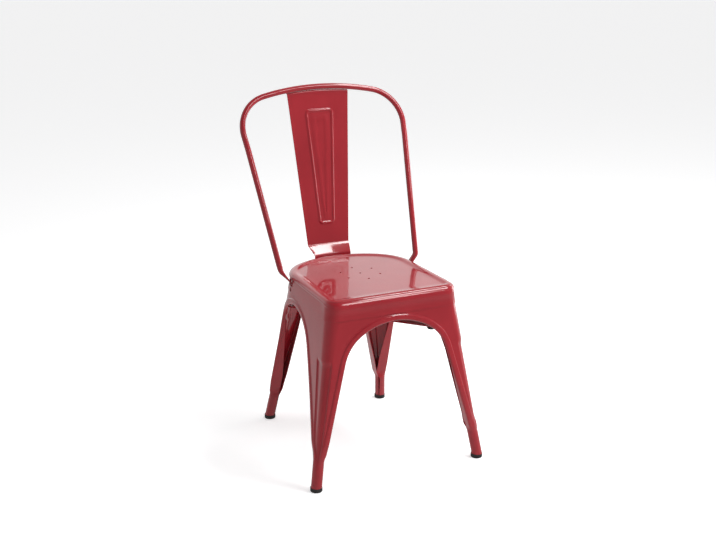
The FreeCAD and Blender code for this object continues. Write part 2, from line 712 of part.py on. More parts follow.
def hoop_run():
    """The tube's centre line on the right side, as straight runs and arcs from its low end."""
    frame = hoop_frame()
    start = tube_turn + leg_direction * size("tab_blend")
    turn = math.acos(leg_direction.dot(frame["upper"]))
    reach = size("hoop_bend_radius") * math.tan(turn / 2)
    low_touch = frame["bend"] - leg_direction * reach
    high_touch = frame["bend"] + frame["upper"] * reach
    sag = size("hoop_bend_radius") * (1 / math.cos(turn / 2) - 1)
    middle = frame["bend"] + unit(frame["upper"] - leg_direction) * sag
    return [
        (start, low_touch),
        (low_touch, middle, high_touch),
        (high_touch, frame["leg_end"]),
        (frame["leg_end"], frame["shoulder_middle"], frame["shoulder_end"]),
        (frame["shoulder_end"], frame["top"], flip(frame["shoulder_end"])),
    ]


def tube_piece(points, radius, wall):
    """A hollow piece of round tube along a straight run of two points or an arc of three."""
    start, end = points[0], points[-1]
    if len(points) == 2:
        direction = unit(end - start)
    else:
        curve = Part.Arc(*points).toShape().Curve
        centre = curve.Center
        axis = unit((start - centre).cross(points[1] - centre))
        direction = unit(axis.cross(start - centre))
    rings = [Part.Wire(Part.makeCircle(reach, start, direction)) for reach in (radius, radius - wall)]
    ring = Part.Face(rings[0]).cut(Part.Face(rings[1])).Faces[0]
    if len(points) == 2:
        return ring.extrude(end - start)
    swing = 0.0
    for first, second in zip(points, points[1:]):
        swing += math.degrees((first - centre).getAngle(second - centre))
    return ring.revolve(centre, axis, swing)


def flat_section(centre, normal, across, half, deep, corner):
    """A closed outline of four edges, from a round tube's to a flat strip's."""
    first = unit(across)
    second = unit(normal.cross(first))

    def at(along, up):
        return centre + first * along + second * up

    edges = []
    for side in (1, -1):
        ends = at(side * corner[0], -side * corner[1]), at(side * corner[0], side * corner[1])
        edges.append(Part.Arc(ends[0], at(side * half, 0), ends[1]))
        following = at(-side * corner[0], side * corner[1])
        if corner[1] < deep:
            edges.append(Part.Arc(ends[1], at(0, side * deep), following))
        else:
            edges.append(Part.LineSegment(ends[1], following))
    return Part.Wire([edge.toShape() for edge in edges])


def ribbon(line, thickness):
    """Closed polygon of a strip's edge view, from its centre line in two coordinates."""
    half = thickness / 2
    sides = ([], [])
    for index, (across, up) in enumerate(line):
        before = line[max(index - 1, 0)]
        after = line[min(index + 1, len(line) - 1)]
        turns = []
        for start, end in ((before, (across, up)), ((across, up), after)):
            length = math.hypot(end[0] - start[0], end[1] - start[1])
            if length > 0:
                turns.append(((start[1] - end[1]) / length, (end[0] - start[0]) / length))
        normal = (sum(turn[0] for turn in turns), sum(turn[1] for turn in turns))
        scale = half * len(turns) / (normal[0] ** 2 + normal[1] ** 2)
        sides[0].append((across + normal[0] * scale, up + normal[1] * scale))
        sides[1].append((across - normal[0] * scale, up - normal[1] * scale))
    return sides[0] + sides[1][::-1]


def inner_reach(centre, radius, base, direction, half_width):
    """How far a flat piece can go along a direction before its edges meet a round wall."""
    tangent = Vector(-direction.y, direction.x, 0)
    reaches = []
    for edge in (-half_width, half_width):
        offset = base + tangent * edge - centre
        ahead = offset.dot(direction)
        reaches.append(math.sqrt(ahead ** 2 - offset.dot(offset) + radius ** 2) - ahead)
    return min(reaches)


def wall_reach(kind, height, base, direction, half_width, gap):
    """The same against the inner face of a leg's corner at one height."""
    outline = skin_level(height)
    radius = outline[kind + "_radius"] - leg_inset - size("sheet") - gap
    return inner_reach(outline[kind], radius, base, direction, half_width)


# The flat end of the tube stands upright inside the leg's apron
tab_base = screw_level["rear"]
tab_bottom = sill - size("tab_length")
tab_face = min(wall_reach("rear", height, tab_base, tab_out, size("tab_width") / 2, size("fit_gap"))
               for height in (sill, tab_bottom))
tab_middle = tab_face - size("tab_thickness") / 2


def make_hoop():
    tube, wall = size("tube_radius"), size("tube_wall")
    run = hoop_run()
    pieces = [tube_piece(points, tube, wall) for points in run]
    pieces += [mirror(piece) for piece in pieces[:-1]]
    turn = (tab_away.dot(tab_out), tube_turn.z)
    bend = (tab_middle, sill + size("tab_lift"))
    slant = unit(tab_out * (turn[0] - bend[0]) + Vector(0, 0, turn[1] - bend[1]))
    tangent = Vector(-tab_out.y, tab_out.x, 0)
    half, deep = size("tab_width") / 2, size("tab_thickness") / 2
    flat_at = tube_turn - slant * size("tab_blend") * 0.6
    overlap = size("tab_blend") * 0.5
    strip_end = (turn[0] - slant.dot(tab_out) * overlap, turn[1] - slant.z * overlap)
    corners = [Vector(tab_base.x, tab_base.y, up) + tab_out * across - tangent * half
               for across, up in ribbon([(tab_middle, tab_bottom), bend, strip_end], 2 * deep)]
    strip = Part.Face(Part.makePolygon(corners + corners[:1])).extrude(tangent * 2 * half)
    start = run[0][0]
    diagonal = tube / math.sqrt(2)
    middle_half, middle_deep = (tube + half) / 2, (tube + deep) / 2
    sections = []
    for centre, normal, wide, thick, corner in (
            (start, leg_direction, tube, tube, (diagonal, diagonal)),
            (tube_turn, unit(leg_direction + slant), middle_half, middle_deep,
             (middle_half - middle_deep * 0.4, middle_deep * 0.85)),
            (flat_at, slant, half, deep, (half - deep, deep))):
        across = tangent - normal * tangent.dot(normal)
        sections.append(flat_section(centre, normal, across, wide, thick, corner))
    end = Part.makeLoft(sections, True, False).fuse(strip)
    end = end.cut(screw_hole(1, size("screw_radius") + size("fit_gap"), 5, 40))
    return pieces[0].fuse(pieces[1:] + [end, mirror(end)])


# Back slat

slat_up = Vector(0, math.sin(math.radians(size("slat_lean"))), math.cos(math.radians(size("slat_lean"))))
slat_back = Vector(0, slat_up.z, -slat_up.y)
slat_origin = Vector(0, size("slat_bend_y"), over_seat("slat_bend_rise"))
plate_start = 10.0


def slat_point(across, up, back=0.0):
    return slat_origin + Vector(across, 0, 0) + slat_up * up + slat_back * back


def under_tube(across):
    """Height along the slat at which its top edge lies just under the tube."""
    drop = size("hoop_top_radius") - math.sqrt(size("hoop_top_radius") ** 2 - across ** 2)
    top = Vector(0, size("hoop_top_y"), over_seat("hoop_top_rise"))
    bend = hoop_frame()["bend"]
    up = unit(Vector(0, top.y - bend.y, top.z - bend.z))
    centre = top - up * drop
    return (centre - slat_origin).dot(slat_up) - size("tube_radius") - size("nest_gap")


def slat_half(up):
    """Half the slat's width at a height along it."""
    share = up / under_tube(size("slat_top_half"))
    return size("slat_bend_half") * (1 - share) + size("slat_top_half") * share


def closed_face(edges):
    return Part.Face(Part.Wire([edge.toShape() for edge in edges]))


def slat_plate():
    """The slat's flat sheet and the edge that is rolled back under the tube."""
    sheet_size = size("sheet")
    start = plate_start
    middle, corner = under_tube(0.0), under_tube(size("slat_top_half"))
    low = slat_half(start)
    wide = size("slat_top_half")
    narrow = slat_half(corner - sheet_size)
    top_arc = Part.Arc(slat_point(wide, corner), slat_point(0, middle), slat_point(-wide, corner))

    plate = closed_face([
        Part.LineSegment(slat_point(-low, start), slat_point(low, start)),
        Part.LineSegment(slat_point(low, start), slat_point(wide, corner)),
        top_arc,
        Part.LineSegment(slat_point(-wide, corner), slat_point(-low, start)),
    ]).extrude(slat_back * sheet_size)
    hem = closed_face([
        top_arc,
        Part.LineSegment(slat_point(-wide, corner), slat_point(-narrow, corner - sheet_size)),
        Part.Arc(slat_point(-narrow, corner - sheet_size), slat_point(0, middle - sheet_size),
                 slat_point(narrow, corner - sheet_size)),
        Part.LineSegment(slat_point(narrow, corner - sheet_size), slat_point(wide, corner)),
    ]).extrude(slat_back * size("slat_hem"))
    plate = plate.fuse(hem).removeSplitter()
    roll = size("slat_roll")
    inner = nearest_edge(plate, slat_point(0, middle - sheet_size, sheet_size))
    plate = plate.makeFillet(roll - sheet_size, [inner])
    outer = nearest_edge(plate, slat_point(0, middle))
    return plate.makeFillet(roll, [outer])


def nearest_edge(shape, point):
    """The shape's edge that passes closest to a point."""
    vertex = Part.Vertex(point)
    return min(shape.Edges, key=lambda edge: edge.distToShape(vertex)[0])


def cross_section(front, back, half, centre):
    """A level section of the slat: front and back faces, each a line or an arc about a centre."""
    runs = []
    for point, way in ((front, 1), (back, -1)):
        if centre is None:
            runs.append(Part.LineSegment(Vector(-half * way, point.y, point.z),
                                         Vector(half * way, point.y, point.z)))
        else:
            side = centre + math.sqrt((point.y - centre) ** 2 - half ** 2)
            runs.append(Part.Arc(Vector(-half * way, side, point.z), Vector(0, point.y, point.z),
                                 Vector(half * way, side, point.z)))
    first, second = runs
    edges = [first, Part.LineSegment(first.EndPoint, second.StartPoint), second,
             Part.LineSegment(second.EndPoint, first.StartPoint)]
    return Part.Wire([edge.toShape() for edge in edges])


def slat_foot():
    """The slat's lower end: forward to the rim, then down the back of the seat."""
    sheet_size = size("sheet")
    rim_rear = CREASE["reach"] + size("rim_overhang") + size("rim_gap")
    step = crease - size("rim_height") / 2
    low_bend, bend, low_end = over_seat("slat_low_rise"), slat_origin.z, under_seat("slat_end_drop")

    def on_skirt(height):
        return skin_level(height)["reach"] + size("nest_gap")

    profile = [(on_skirt(low_end), low_end), (on_skirt(step), step),
               (rim_rear, crease), (rim_rear, low_bend)]
    centred = [(across + sheet_size / 2, up) for across, up in profile]
    outline = [Vector(0, across, up) for across, up in ribbon(centred, sheet_size)]
    axis = Vector(0, rear_arc(skin_level(low_end))[0].y, 0)
    face = Part.Face(Part.makePolygon(outline + outline[:1]))
    sweep = math.degrees(math.asin(size("slat_seat_half") / (rim_rear - axis.y)))
    flange = face.revolve(axis, Vector(0, 0, 1), sweep)
    flange = flange.fuse(face.revolve(axis, Vector(0, 0, 1), -sweep))
    seat_half = size("slat_seat_half")
    facet_wall = sheet_size * size("facet_spread")
    facet = Part.makeLoft([
        cross_section(Vector(0, rim_rear, low_bend), Vector(0, rim_rear + facet_wall, low_bend),
                      seat_half, axis.y),
        cross_section(Vector(0, slat_origin.y, bend), Vector(0, slat_origin.y + facet_wall, bend),
                      size("slat_bend_half"), None),
    ], True, True)
    start, back = slat_point(0, plate_start), slat_point(0, plate_start, sheet_size)
    root = Part.makeLoft([
        cross_section(slat_origin, slat_origin + Vector(0, sheet_size / slat_up.z, 0),
                      size("slat_bend_half"), None),
        cross_section(start, back, slat_half(plate_start), None),
    ], True, True)
    return root.fuse([facet, flange])


def bead_ring(width, low_back, high_back):
    """The pressed bead's closed track in the slat, with round corners."""
    ends = []
    for grow in (width / 2, -width / 2):
        top = (size("bead_top_rise") - size("slat_bend_rise")) / slat_up.z + grow
        bottom = (size("bead_bottom_rise") - size("slat_bend_rise")) / slat_up.z - grow
        height = (size("bead_top_rise") - size("bead_bottom_rise")) / slat_up.z
        slope = (size("bead_top_half") - size("bead_bottom_half")) / height
        side = grow * math.sqrt(1 + slope ** 2)
        wide = size("bead_top_half") + side + slope * grow
        narrow = size("bead_bottom_half") + side - slope * grow
        corners = [slat_point(-narrow, bottom, low_back), slat_point(narrow, bottom, low_back),
                   slat_point(wide, top, low_back), slat_point(-wide, top, low_back)]
        block = Part.Face(Part.makePolygon(corners + corners[:1])).extrude(slat_back * (high_back - low_back))
        uprights = [edge for edge in block.Edges
                    if abs(unit(edge.tangentAt(edge.FirstParameter)).dot(slat_back)) > 0.999]
        ends.append(block.makeFillet(size("bead_corner") + grow, uprights))
    return ends[0].cut(ends[1])


def make_slat():
    plate = slat_plate().fuse(slat_foot())
    depth = size("bead_depth")
    ridge = bead_ring(size("bead_width"), -depth, 0.5)
    front = [edge for edge in ridge.Edges
             if abs((edge.CenterOfMass - slat_origin).dot(slat_back) + depth) < 0.01]
    ridge = ridge.makeFillet(depth * 0.9, front)
    groove = bead_ring(size("bead_width") - 2 * size("sheet"), size("sheet") - depth, size("sheet") + 1)
    slat = plate.fuse(ridge).cut(groove)
    for side in (-1, 1):
        slat = slat.cut(rivet_hole(side, size("rivet_radius") + size("fit_gap") / 3))
    return slat.removeSplitter()


# Assembly

foot_share = size("glide_height") / size("ankle_height")
glide_points = {}
for kind in ("front", "rear"):
    lower, upper = ankle(kind)
    glide_points[kind] = (lower + (upper - lower) * foot_share - Vector(0, 0, size("glide_height")),
                          upper - lower)
chair_front = glide_points["front"][0].y - size("glide_radius")
chair_rear = size("hoop_top_y") + size("tube_radius")
shift = Vector(0, -(chair_front + chair_rear) / 2, 0)
upright = FreeCAD.Rotation()


def place(feature, point, rotation):
    feature.Placement = FreeCAD.Placement(point + shift, rotation)


def add_pressing(name, shape):
    """A sub-part whose form is pressed or bent, placed with the whole chair."""
    feature = doc.addObject("Part::Feature", name)
    feature.Label = name
    feature.Shape = shape
    place(feature, Vector(0, 0, 0), upright)
    return feature


def add_body(name):
    body = doc.addObject("PartDesign::Body", name)
    body.Label = name
    return body


def add_sketch(body, name, role):
    sketch = body.newObject("Sketcher::SketchObject", body.Name + "_" + name)
    plane = [feature for feature in body.Origin.OriginFeatures if feature.Role == role][0]
    sketch.AttachmentSupport = (plane, [""])
    sketch.MapMode = "FlatFace"
    return sketch


def expression(words):
    """The sheet's names in an expression, written out as references to the sheet."""
    return re.sub(r"([a-z][a-z_]+)", r"Sizes.\1", words)


def number(sketch, words):
    if isinstance(words, str):
        return float(sketch.evalExpression(expression(words)))
    return words


def bind(sketch, kind, first, words):
    """Hold a corner or a radius to the sheet."""
    value = number(sketch, words)
    if kind != "Radius" and abs(value) < 1e-9:
        axis = -2 if kind == "DistanceX" else -1
        sketch.addConstraint(Sketcher.Constraint("PointOnObject", first[0], first[1], axis))
        return
    if kind == "Radius":
        index = sketch.addConstraint(Sketcher.Constraint(kind, first[0], value))
    else:
        index = sketch.addConstraint(Sketcher.Constraint(kind, -1, 1, first[0], first[1], value))
    if isinstance(words, str):
        sketch.setExpression("Constraints[%d]" % index, expression(words))


def draw_outline(sketch, corners):
    """A closed outline through corners given as pairs of sheet expressions or lengths."""
    points = [Vector(number(sketch, across), number(sketch, up), 0) for across, up in corners]
    for start, end in zip(points, points[1:] + points[:1]):
        sketch.addGeometry(Part.LineSegment(start, end), False)
    for index in range(len(points)):
        following = (index + 1) % len(points)
        sketch.addConstraint(Sketcher.Constraint("Coincident", index, 2, following, 1))
    for index, (across, up) in enumerate(corners):
        bind(sketch, "DistanceX", (index, 1), across)
        bind(sketch, "DistanceY", (index, 1), up)


def draw_circle(sketch, across, up, radius):
    circle = Part.Circle(Vector(number(sketch, across), number(sketch, up), 0), Vector(0, 0, 1),
                         number(sketch, radius))
    index = sketch.addGeometry(circle, False)
    bind(sketch, "Radius", (index, 0), radius)
    bind(sketch, "DistanceX", (index, 3), across)
    bind(sketch, "DistanceY", (index, 3), up)


def add_revolution(body, corners):
    """A round piece, turned about its own upright axis from a half outline."""
    sketch = add_sketch(body, "outline", "XZ_Plane")
    draw_outline(sketch, corners)
    turned = body.newObject("PartDesign::Revolution", body.Name + "_turned")
    turned.Profile = sketch
    turned.ReferenceAxis = (sketch, ["V_Axis"])
    turned.Angle = 360.0
    sketch.Visibility = False


def edge_names(shape, wanted):
    return ["Edge%d" % (index + 1) for index, edge in enumerate(shape.Edges) if wanted(edge)]


def add_rubber_foot(name, kind, side):
    """A rubber foot: a disc on the floor with a stem up into the rolled steel foot."""
    point, lean = glide_points[kind]
    body = add_body(name)
    disc_sketch = add_sketch(body, "disc", "XY_Plane")
    draw_circle(disc_sketch, 0.0, 0.0, "glide_radius")
    disc = body.newObject("PartDesign::Pad", name + "_disc_pad")
    disc.Profile = disc_sketch
    disc.setExpression("Length", expression("glide_height"))
    doc.recompute()
    chamfer = body.newObject("PartDesign::Chamfer", name + "_chamfer")
    chamfer.Base = (disc, edge_names(disc.Shape, lambda edge: edge.BoundBox.ZMax < 0.01))
    chamfer.setExpression("Size", expression("glide_chamfer"))
    slope = math.hypot(lean.x, lean.y) / lean.z
    sections = []
    for index, lift in enumerate(("glide_height", "glide_height + glide_stem")):
        sketch = add_sketch(body, "stem_%d" % index, "XY_Plane")
        sketch.setExpression("AttachmentOffset.Base.z", expression(lift))
        radius = "foot_radius + (ankle_radius - foot_radius) * (%s) / ankle_height - sheet - fit_gap" % lift
        draw_circle(sketch, slope * size("glide_stem") * index, 0.0, radius)
        sections.append(sketch)
    doc.recompute()
    stem = body.newObject("PartDesign::AdditiveLoft", name + "_stem")
    stem.Profile = sections[0]
    stem.Sections = [sections[1]]
    stem.Ruled = True
    body.Tip = stem
    angle = math.degrees(math.atan2(lean.y, lean.x))
    if side < 0:
        angle = 180 - angle
    place(body, Vector(side * point.x, point.y, 0), FreeCAD.Rotation(Vector(0, 0, 1), angle))
    return body


def add_stacking_pad(name, point):
    """A rubber pad under a brace bar, held by a stem and a knob above the bar."""
    body = add_body(name)
    add_revolution(body, [
        (0.0, "-pad_height"), ("pad_radius - 1.5", "-pad_height"), ("pad_radius", "1.5 - pad_height"),
        ("pad_radius", 0.0), ("pad_stem", 0.0), ("pad_stem", "bar_thickness"),
        ("pad_knob", "bar_thickness"), ("pad_stem", "bar_thickness + 3"), (0.0, "bar_thickness + 3")])
    place(body, point, upright)
    return body


# The two brace bars cross on the chair's middle plane
bar_height = under_seat("bar_drop")
brace_level = skin_level(bar_height)
brace_spread = brace_level["front"].x + brace_level["rear"].x
brace_cross = Vector(0, brace_level["front"].y + (brace_level["rear"].y - brace_level["front"].y)
                     * brace_level["front"].x / brace_spread, 0)
brace_ways = {}
for kind in ("front", "rear"):
    corner = Vector(brace_level[kind].x, brace_level[kind].y, 0)
    brace_ways[kind] = unit(corner - brace_cross)


def brace_end(kind, height):
    """Reach of a brace bar to the inner face of a leg's corner at one height."""
    return wall_reach(kind, height, brace_cross, brace_ways[kind], size("bar_width") / 2,
                      size("bar_gap"))


def add_brace_bar(name, height, side):
    """A flat bar from a front leg to the rear leg across from it, with both ends bent up."""
    body = add_body(name)
    thickness = size("bar_thickness")
    top = size("bar_tab")
    front_low, front_high = brace_end("front", height), brace_end("front", height + top)
    rear_low, rear_high = brace_end("rear", height), brace_end("rear", height + top)
    front_wall = thickness * math.hypot(front_low - front_high, top) / top
    rear_wall = thickness * math.hypot(rear_low - rear_high, top) / top
    front_corner = front_low + (front_high - front_low) * thickness / top
    rear_corner = rear_low + (rear_high - rear_low) * thickness / top
    sketch = add_sketch(body, "side", "XZ_Plane")
    draw_outline(sketch, [
        (-front_low, 0.0), (rear_low, 0.0), (rear_high, "bar_tab"), (rear_high - rear_wall, "bar_tab"),
        (rear_corner - rear_wall, "bar_thickness"), (front_wall - front_corner, "bar_thickness"),
        (front_wall - front_high, "bar_tab"), (-front_high, "bar_tab")])
    bar = body.newObject("PartDesign::Pad", name + "_bar")
    bar.Profile = sketch
    bar.setExpression("Length", expression("bar_width"))
    bar.Midplane = True
    doc.recompute()
    bends = body.newObject("PartDesign::Fillet", name + "_bends")
    bends.Base = (bar, edge_names(bar.Shape, lambda edge: edge.BoundBox.ZMax < 0.01
                                  and edge.BoundBox.XLength < 0.01))
    bends.setExpression("Radius", expression("bar_thickness"))
    doc.recompute()
    holes = add_sketch(body, "holes", "XY_Plane")
    draw_circle(holes, 0.0, 0.0, "rivet_radius + fit_gap / 3")
    for reach in pad_reaches(height):
        draw_circle(holes, reach, 0.0, "pad_stem + fit_gap")
    cut = body.newObject("PartDesign::Pocket", name + "_holes")
    cut.Profile = holes
    cut.Type = 1
    cut.Midplane = True
    body.Tip = cut
    way = brace_ways["rear"]
    angle = math.degrees(math.atan2(way.y, -side * way.x))
    place(body, brace_cross + Vector(0, 0, height), FreeCAD.Rotation(Vector(0, 0, 1), angle))
    return body


def pad_reaches(height):
    """Places of the stacking pads along a brace bar, front one first."""
    front = brace_end("front", height) - size("pad_reach")
    rear = brace_end("rear", height) - size("pad_reach")
    return [-front, rear]


def add_rivet(name, point, direction, grip_words):
    """A rivet with a domed head at each end, its near head above the point."""
    body = add_body(name)
    add_revolution(body, [
        (0.0, "rivet_head_height"), ("rivet_head * 0.6", "rivet_head_height"),
        ("rivet_head", "rivet_head_height * 0.4"), ("rivet_head", 0.0), ("rivet_radius", 0.0),
        ("rivet_radius", "-(%s)" % grip_words), ("rivet_head", "-(%s)" % grip_words),
        ("rivet_head", "-(%s) - rivet_head_height * 0.4" % grip_words),
        ("rivet_head * 0.6", "-(%s) - rivet_head_height" % grip_words),
        (0.0, "-(%s) - rivet_head_height" % grip_words)])
    place(body, point, FreeCAD.Rotation(Vector(0, 0, 1), direction))
    return body


screw_length = (screw_level["rear_radius"] - tab_face + size("tab_thickness")
                + size("nut_height") + 1.5)


def add_hoop_screw(name, side):
    """The countersunk screw that holds the tube's flat end, with its hexagon socket."""
    body = add_body(name)
    add_revolution(body, [
        (0.0, 0.0), ("screw_head", 0.0), ("screw_radius", "screw_radius - screw_head"),
        ("screw_radius", -screw_length), (0.0, -screw_length)])
    doc.recompute()
    socket_sketch = add_sketch(body, "socket", "XY_Plane")
    flats = [("screw_radius * %s" % across, "screw_radius * %s" % up)
             for across, up in hexagon(0.6)]
    draw_outline(socket_sketch, flats)
    socket = body.newObject("PartDesign::Pocket", name + "_socket")
    socket.Profile = socket_sketch
    socket.setExpression("Length", expression("screw_radius * 0.6"))
    body.Tip = socket
    out = Vector(side * tab_out.x, tab_out.y, 0)
    point = Vector(side * screw_skin.x, screw_skin.y, screw_skin.z) - out * size("fit_gap")
    place(body, point, FreeCAD.Rotation(Vector(0, 0, 1), out))
    return body


def hexagon(reach):
    """Corners of a hexagon as factors, written for an expression."""
    corners = []
    for index in range(6):
        angle = math.radians(60 * index + 30)
        corners.append(("(%.9f)" % (reach * math.cos(angle)), "(%.9f)" % (reach * math.sin(angle))))
    return corners


def add_hoop_nut(name, side):
    """The nut on the inner face of the tube's flat end."""
    body = add_body(name)
    sketch = add_sketch(body, "hexagon", "XY_Plane")
    reach = 1 / math.sqrt(3)
    draw_outline(sketch, [("nut_width * %s" % across, "nut_width * %s" % up)
                          for across, up in hexagon(reach)])
    draw_circle(sketch, 0.0, 0.0, "screw_radius + fit_gap / 3")
    pad = body.newObject("PartDesign::Pad", name + "_pad")
    pad.Profile = sketch
    pad.setExpression("Length", expression("nut_height"))
    out = Vector(side * tab_out.x, tab_out.y, 0)
    centre = tab_base + tab_out * (tab_face - size("tab_thickness") - size("nut_height"))
    place(body, Vector(side * centre.x, centre.y, screw_height), FreeCAD.Rotation(Vector(0, 0, 1), out))
    return body


parts = [add_pressing("seat_pan", make_seat_pan()),
         add_pressing("back_hoop", make_hoop()),
         add_pressing("back_slat", make_slat())]
frame = make_frame()
for kind in ("front", "rear"):
    leg = make_leg(frame, kind)
    parts.append(add_pressing("leg_%s_right" % kind, leg))
    parts.append(add_pressing("leg_%s_left" % kind, mirror(leg)))
for side, word in ((1, "right"), (-1, "left")):
    for kind in ("front", "rear"):
        parts.append(add_rubber_foot("rubber_foot_%s_%s" % (kind, word), kind, side))
    parts.append(add_hoop_screw("hoop_screw_" + word, side))
    parts.append(add_hoop_nut("hoop_nut_" + word, side))
    head = rivet_point + rivet_out * (size("sheet") + 2 * size("nest_gap"))
    parts.append(add_rivet("slat_rivet_" + word, Vector(side * head.x, head.y, head.z),
                           Vector(side * rivet_out.x, rivet_out.y, rivet_out.z),
                           "3 * sheet + 4 * nest_gap"))
bar_levels = {"lower": (bar_height, 1), "upper": (bar_height + size("bar_thickness"), -1)}
for word, (height, side) in bar_levels.items():
    parts.append(add_brace_bar("brace_bar_" + word, height, side))
    way = Vector(-side * brace_ways["rear"].x, brace_ways["rear"].y, 0)
    for end, reach in zip(("front", "rear"), pad_reaches(height)):
        parts.append(add_stacking_pad("stacking_pad_%s_%s" % (end, word),
                                      brace_cross + way * reach + Vector(0, 0, height)))
parts.append(add_rivet("brace_rivet", brace_cross + Vector(0, 0, bar_height + 2 * size("bar_thickness")),
                       Vector(0, 0, 1), "2 * bar_thickness"))
doc.recompute()

# Every object is tested before anything is written
for feature in doc.Objects:
    if "Invalid" in feature.State or "Error" in feature.State:
        raise RuntimeError("%s failed: %s" % (feature.Name, feature.State))
for part in parts:
    if part.Shape.isNull() or not part.Shape.isValid() or not part.Shape.Solids:
        raise RuntimeError("%s has no valid solid" % part.Label)

os.makedirs("parts", exist_ok=True)
for part in parts:
    part.Shape.exportStep("parts/%s.step" % part.Label)
    print("%-24s %2d solid, %10.1f mm3" % (part.Label, len(part.Shape.Solids), part.Shape.Volume))
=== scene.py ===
import functools
import json
import math

import bpy
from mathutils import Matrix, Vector
from mathutils.geometry import delaunay_2d_cdt


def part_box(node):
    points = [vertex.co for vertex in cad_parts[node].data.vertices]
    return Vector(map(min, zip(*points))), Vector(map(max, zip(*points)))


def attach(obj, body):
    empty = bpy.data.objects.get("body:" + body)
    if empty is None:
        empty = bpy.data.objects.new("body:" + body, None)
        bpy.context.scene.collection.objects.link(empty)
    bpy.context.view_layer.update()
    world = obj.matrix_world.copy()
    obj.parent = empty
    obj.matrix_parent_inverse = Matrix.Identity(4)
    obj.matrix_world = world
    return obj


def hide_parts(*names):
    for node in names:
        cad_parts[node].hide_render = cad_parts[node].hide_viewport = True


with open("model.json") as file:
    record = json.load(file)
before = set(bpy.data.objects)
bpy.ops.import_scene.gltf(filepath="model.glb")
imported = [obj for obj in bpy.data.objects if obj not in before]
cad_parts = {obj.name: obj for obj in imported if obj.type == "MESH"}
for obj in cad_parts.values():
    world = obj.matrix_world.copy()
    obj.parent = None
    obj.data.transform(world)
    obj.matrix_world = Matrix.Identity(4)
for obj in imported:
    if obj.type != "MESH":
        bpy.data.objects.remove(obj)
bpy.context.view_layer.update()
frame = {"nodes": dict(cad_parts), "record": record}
root = "root"

# Sizes are in millimetres, from a point on the floor on the chair's middle plane
MM = 0.001
SHEET, SHEET_EDGE = 1.5, 0.35

# The skin's outline at the crease and on the floor: the corners' centres and radii, and the reach
CREASE = 421.0
FRONT_CORNER, FRONT_CORNER_RADIUS = (132.9, -147.5), 28.0
REAR_CORNER, REAR_CORNER_RADIUS = (46.0, 48.0), 110.0
FRONT_FOOT, REAR_FOOT, FOOT_CORNER_RADIUS = (211.0, -205.0), (159.0, 223.0), 14.9
SEAT_FRONT, SEAT_REAR, FLOOR_REAR, RIM_OVERHANG = 175.5, 171.6, 258.0, 2.5

# Legs: rows up to ROW_TOP, and an apron above
LEG_INSET, APRON_TOP, ROW_TOP = 1.7, 430.9, 312.0
SEAM, SEAM_CLEAR, SIDE_SEAM, SIDE_CROWN = 0.2, 0.5, 38.0, 361.0
# Radius of each round arch, before and after the side seam and at the rear, and its edge's lean
ARCH_BEFORE, ARCH_AFTER, ARCH_REAR = (118.0, 28.5), (84.0, 20.0), (81.0, 14.4)
LIP_SHORT, LIP_ROLL, ROLL_STEPS = 5.5, 5.0, 6
# The lip's greatest depth, the height up to which it is that deep, and where it is short
LIP_LAW = {"front": (28.0, 80.0, 245.0), "rear": (30.0, 130.0, 330.0)}
FACE_COUNTS = (10, 5, 16, 5, 14)

# The raised band along the arches: its width, the most of the leg's width that it takes, the share
# of it that rises, how proud it stands, where it rises, and its rows as shares of its width
BAND, BAND_MOST, BAND_STEP = 15.0, 0.38, 0.2
BAND_PROUD, BAND_PROUD_REAR, BAND_RISE, BAND_FADE = 2.6, 1.2, 230.0, 30.0
BAND_SHARES = (1.0, 0.95, 0.9, 0.85, 0.8, 0.6)

# The rolled foot is round up to FOOT_TOP and blends into the leg at the ankle, with a slit inside
FOOT_RADIUS, FOOT_BOTTOM, FOOT_TOP, ANKLE, ANKLE_BLEND = 13.0, 10.0, 62.0, 84.0, 3.0
FOOT_TURN = {"front": math.radians(20.0), "rear": math.radians(49.0)}
SLIT_FLOOR, SLIT_ANKLE = 1.6, 4.5

# The recess down each leg's corner
FLUTE_DEPTH, FLUTE_WALL, FLUTE_HIGH, FLUTE_FADE, FLUTE_CLEAR = 3.0, 3.2, 300.0, 17.0, 0.5
FLUTE_FRONT_ANGLE, FLUTE_SIDE_LOW, FLUTE_SIDE_HIGH = math.radians(-82), 7.0, 26.0
FLUTE_REAR_ANGLES = (math.radians(16), math.radians(64))

# The rim from the seat panel outwards, as (distance past the skirt's line, height): a tight roll at
# the sides and the rear, and a large soft one at the front
DISH_TOP = 430.0
RIM_START = ((-25.5, DISH_TOP), (-23.0, 430.25), (-20.0, 430.9), (-17.2, 431.75))
RIM_SIDE = RIM_START + (
    (-14.8, 432.45), (-12.0, 432.95), (-9.0, 432.9), (-5.5, 432.3), (-2.6, 431.3), (-0.4, 429.8),
    (1.2, 427.8), (2.2, 425.4), (2.5, 423.6), (2.1, 422.0), (0.9, 421.2), (-0.8, 420.6))
RIM_FRONT = RIM_START + (
    (-14.8, 432.5), (-12.5, 432.9), (-10.8, 432.7), (-8.0, 432.0), (-5.2, 430.7), (-2.6, 428.9),
    (-0.4, 426.7), (1.4, 424.2), (2.5, 422.1), (3.1, 420.0), (3.4, 418.3), (3.5, 416.9))
SKIRT_ROWS = (419.6, 417.0, 414.0, 411.0, 408.0, 405.0, 402.0, 394.5, 387.0)
SKIRT_FRONT = (
    (3.45, 415.6), (3.2, 413.8), (2.85, 412.0), (2.45, 410.3), (1.95, 408.2), (1.3, 405.6),
    (0.6, 402.0), (0.0, 394.5), (0.0, 387.0))
FRONT_FADE = 30.0

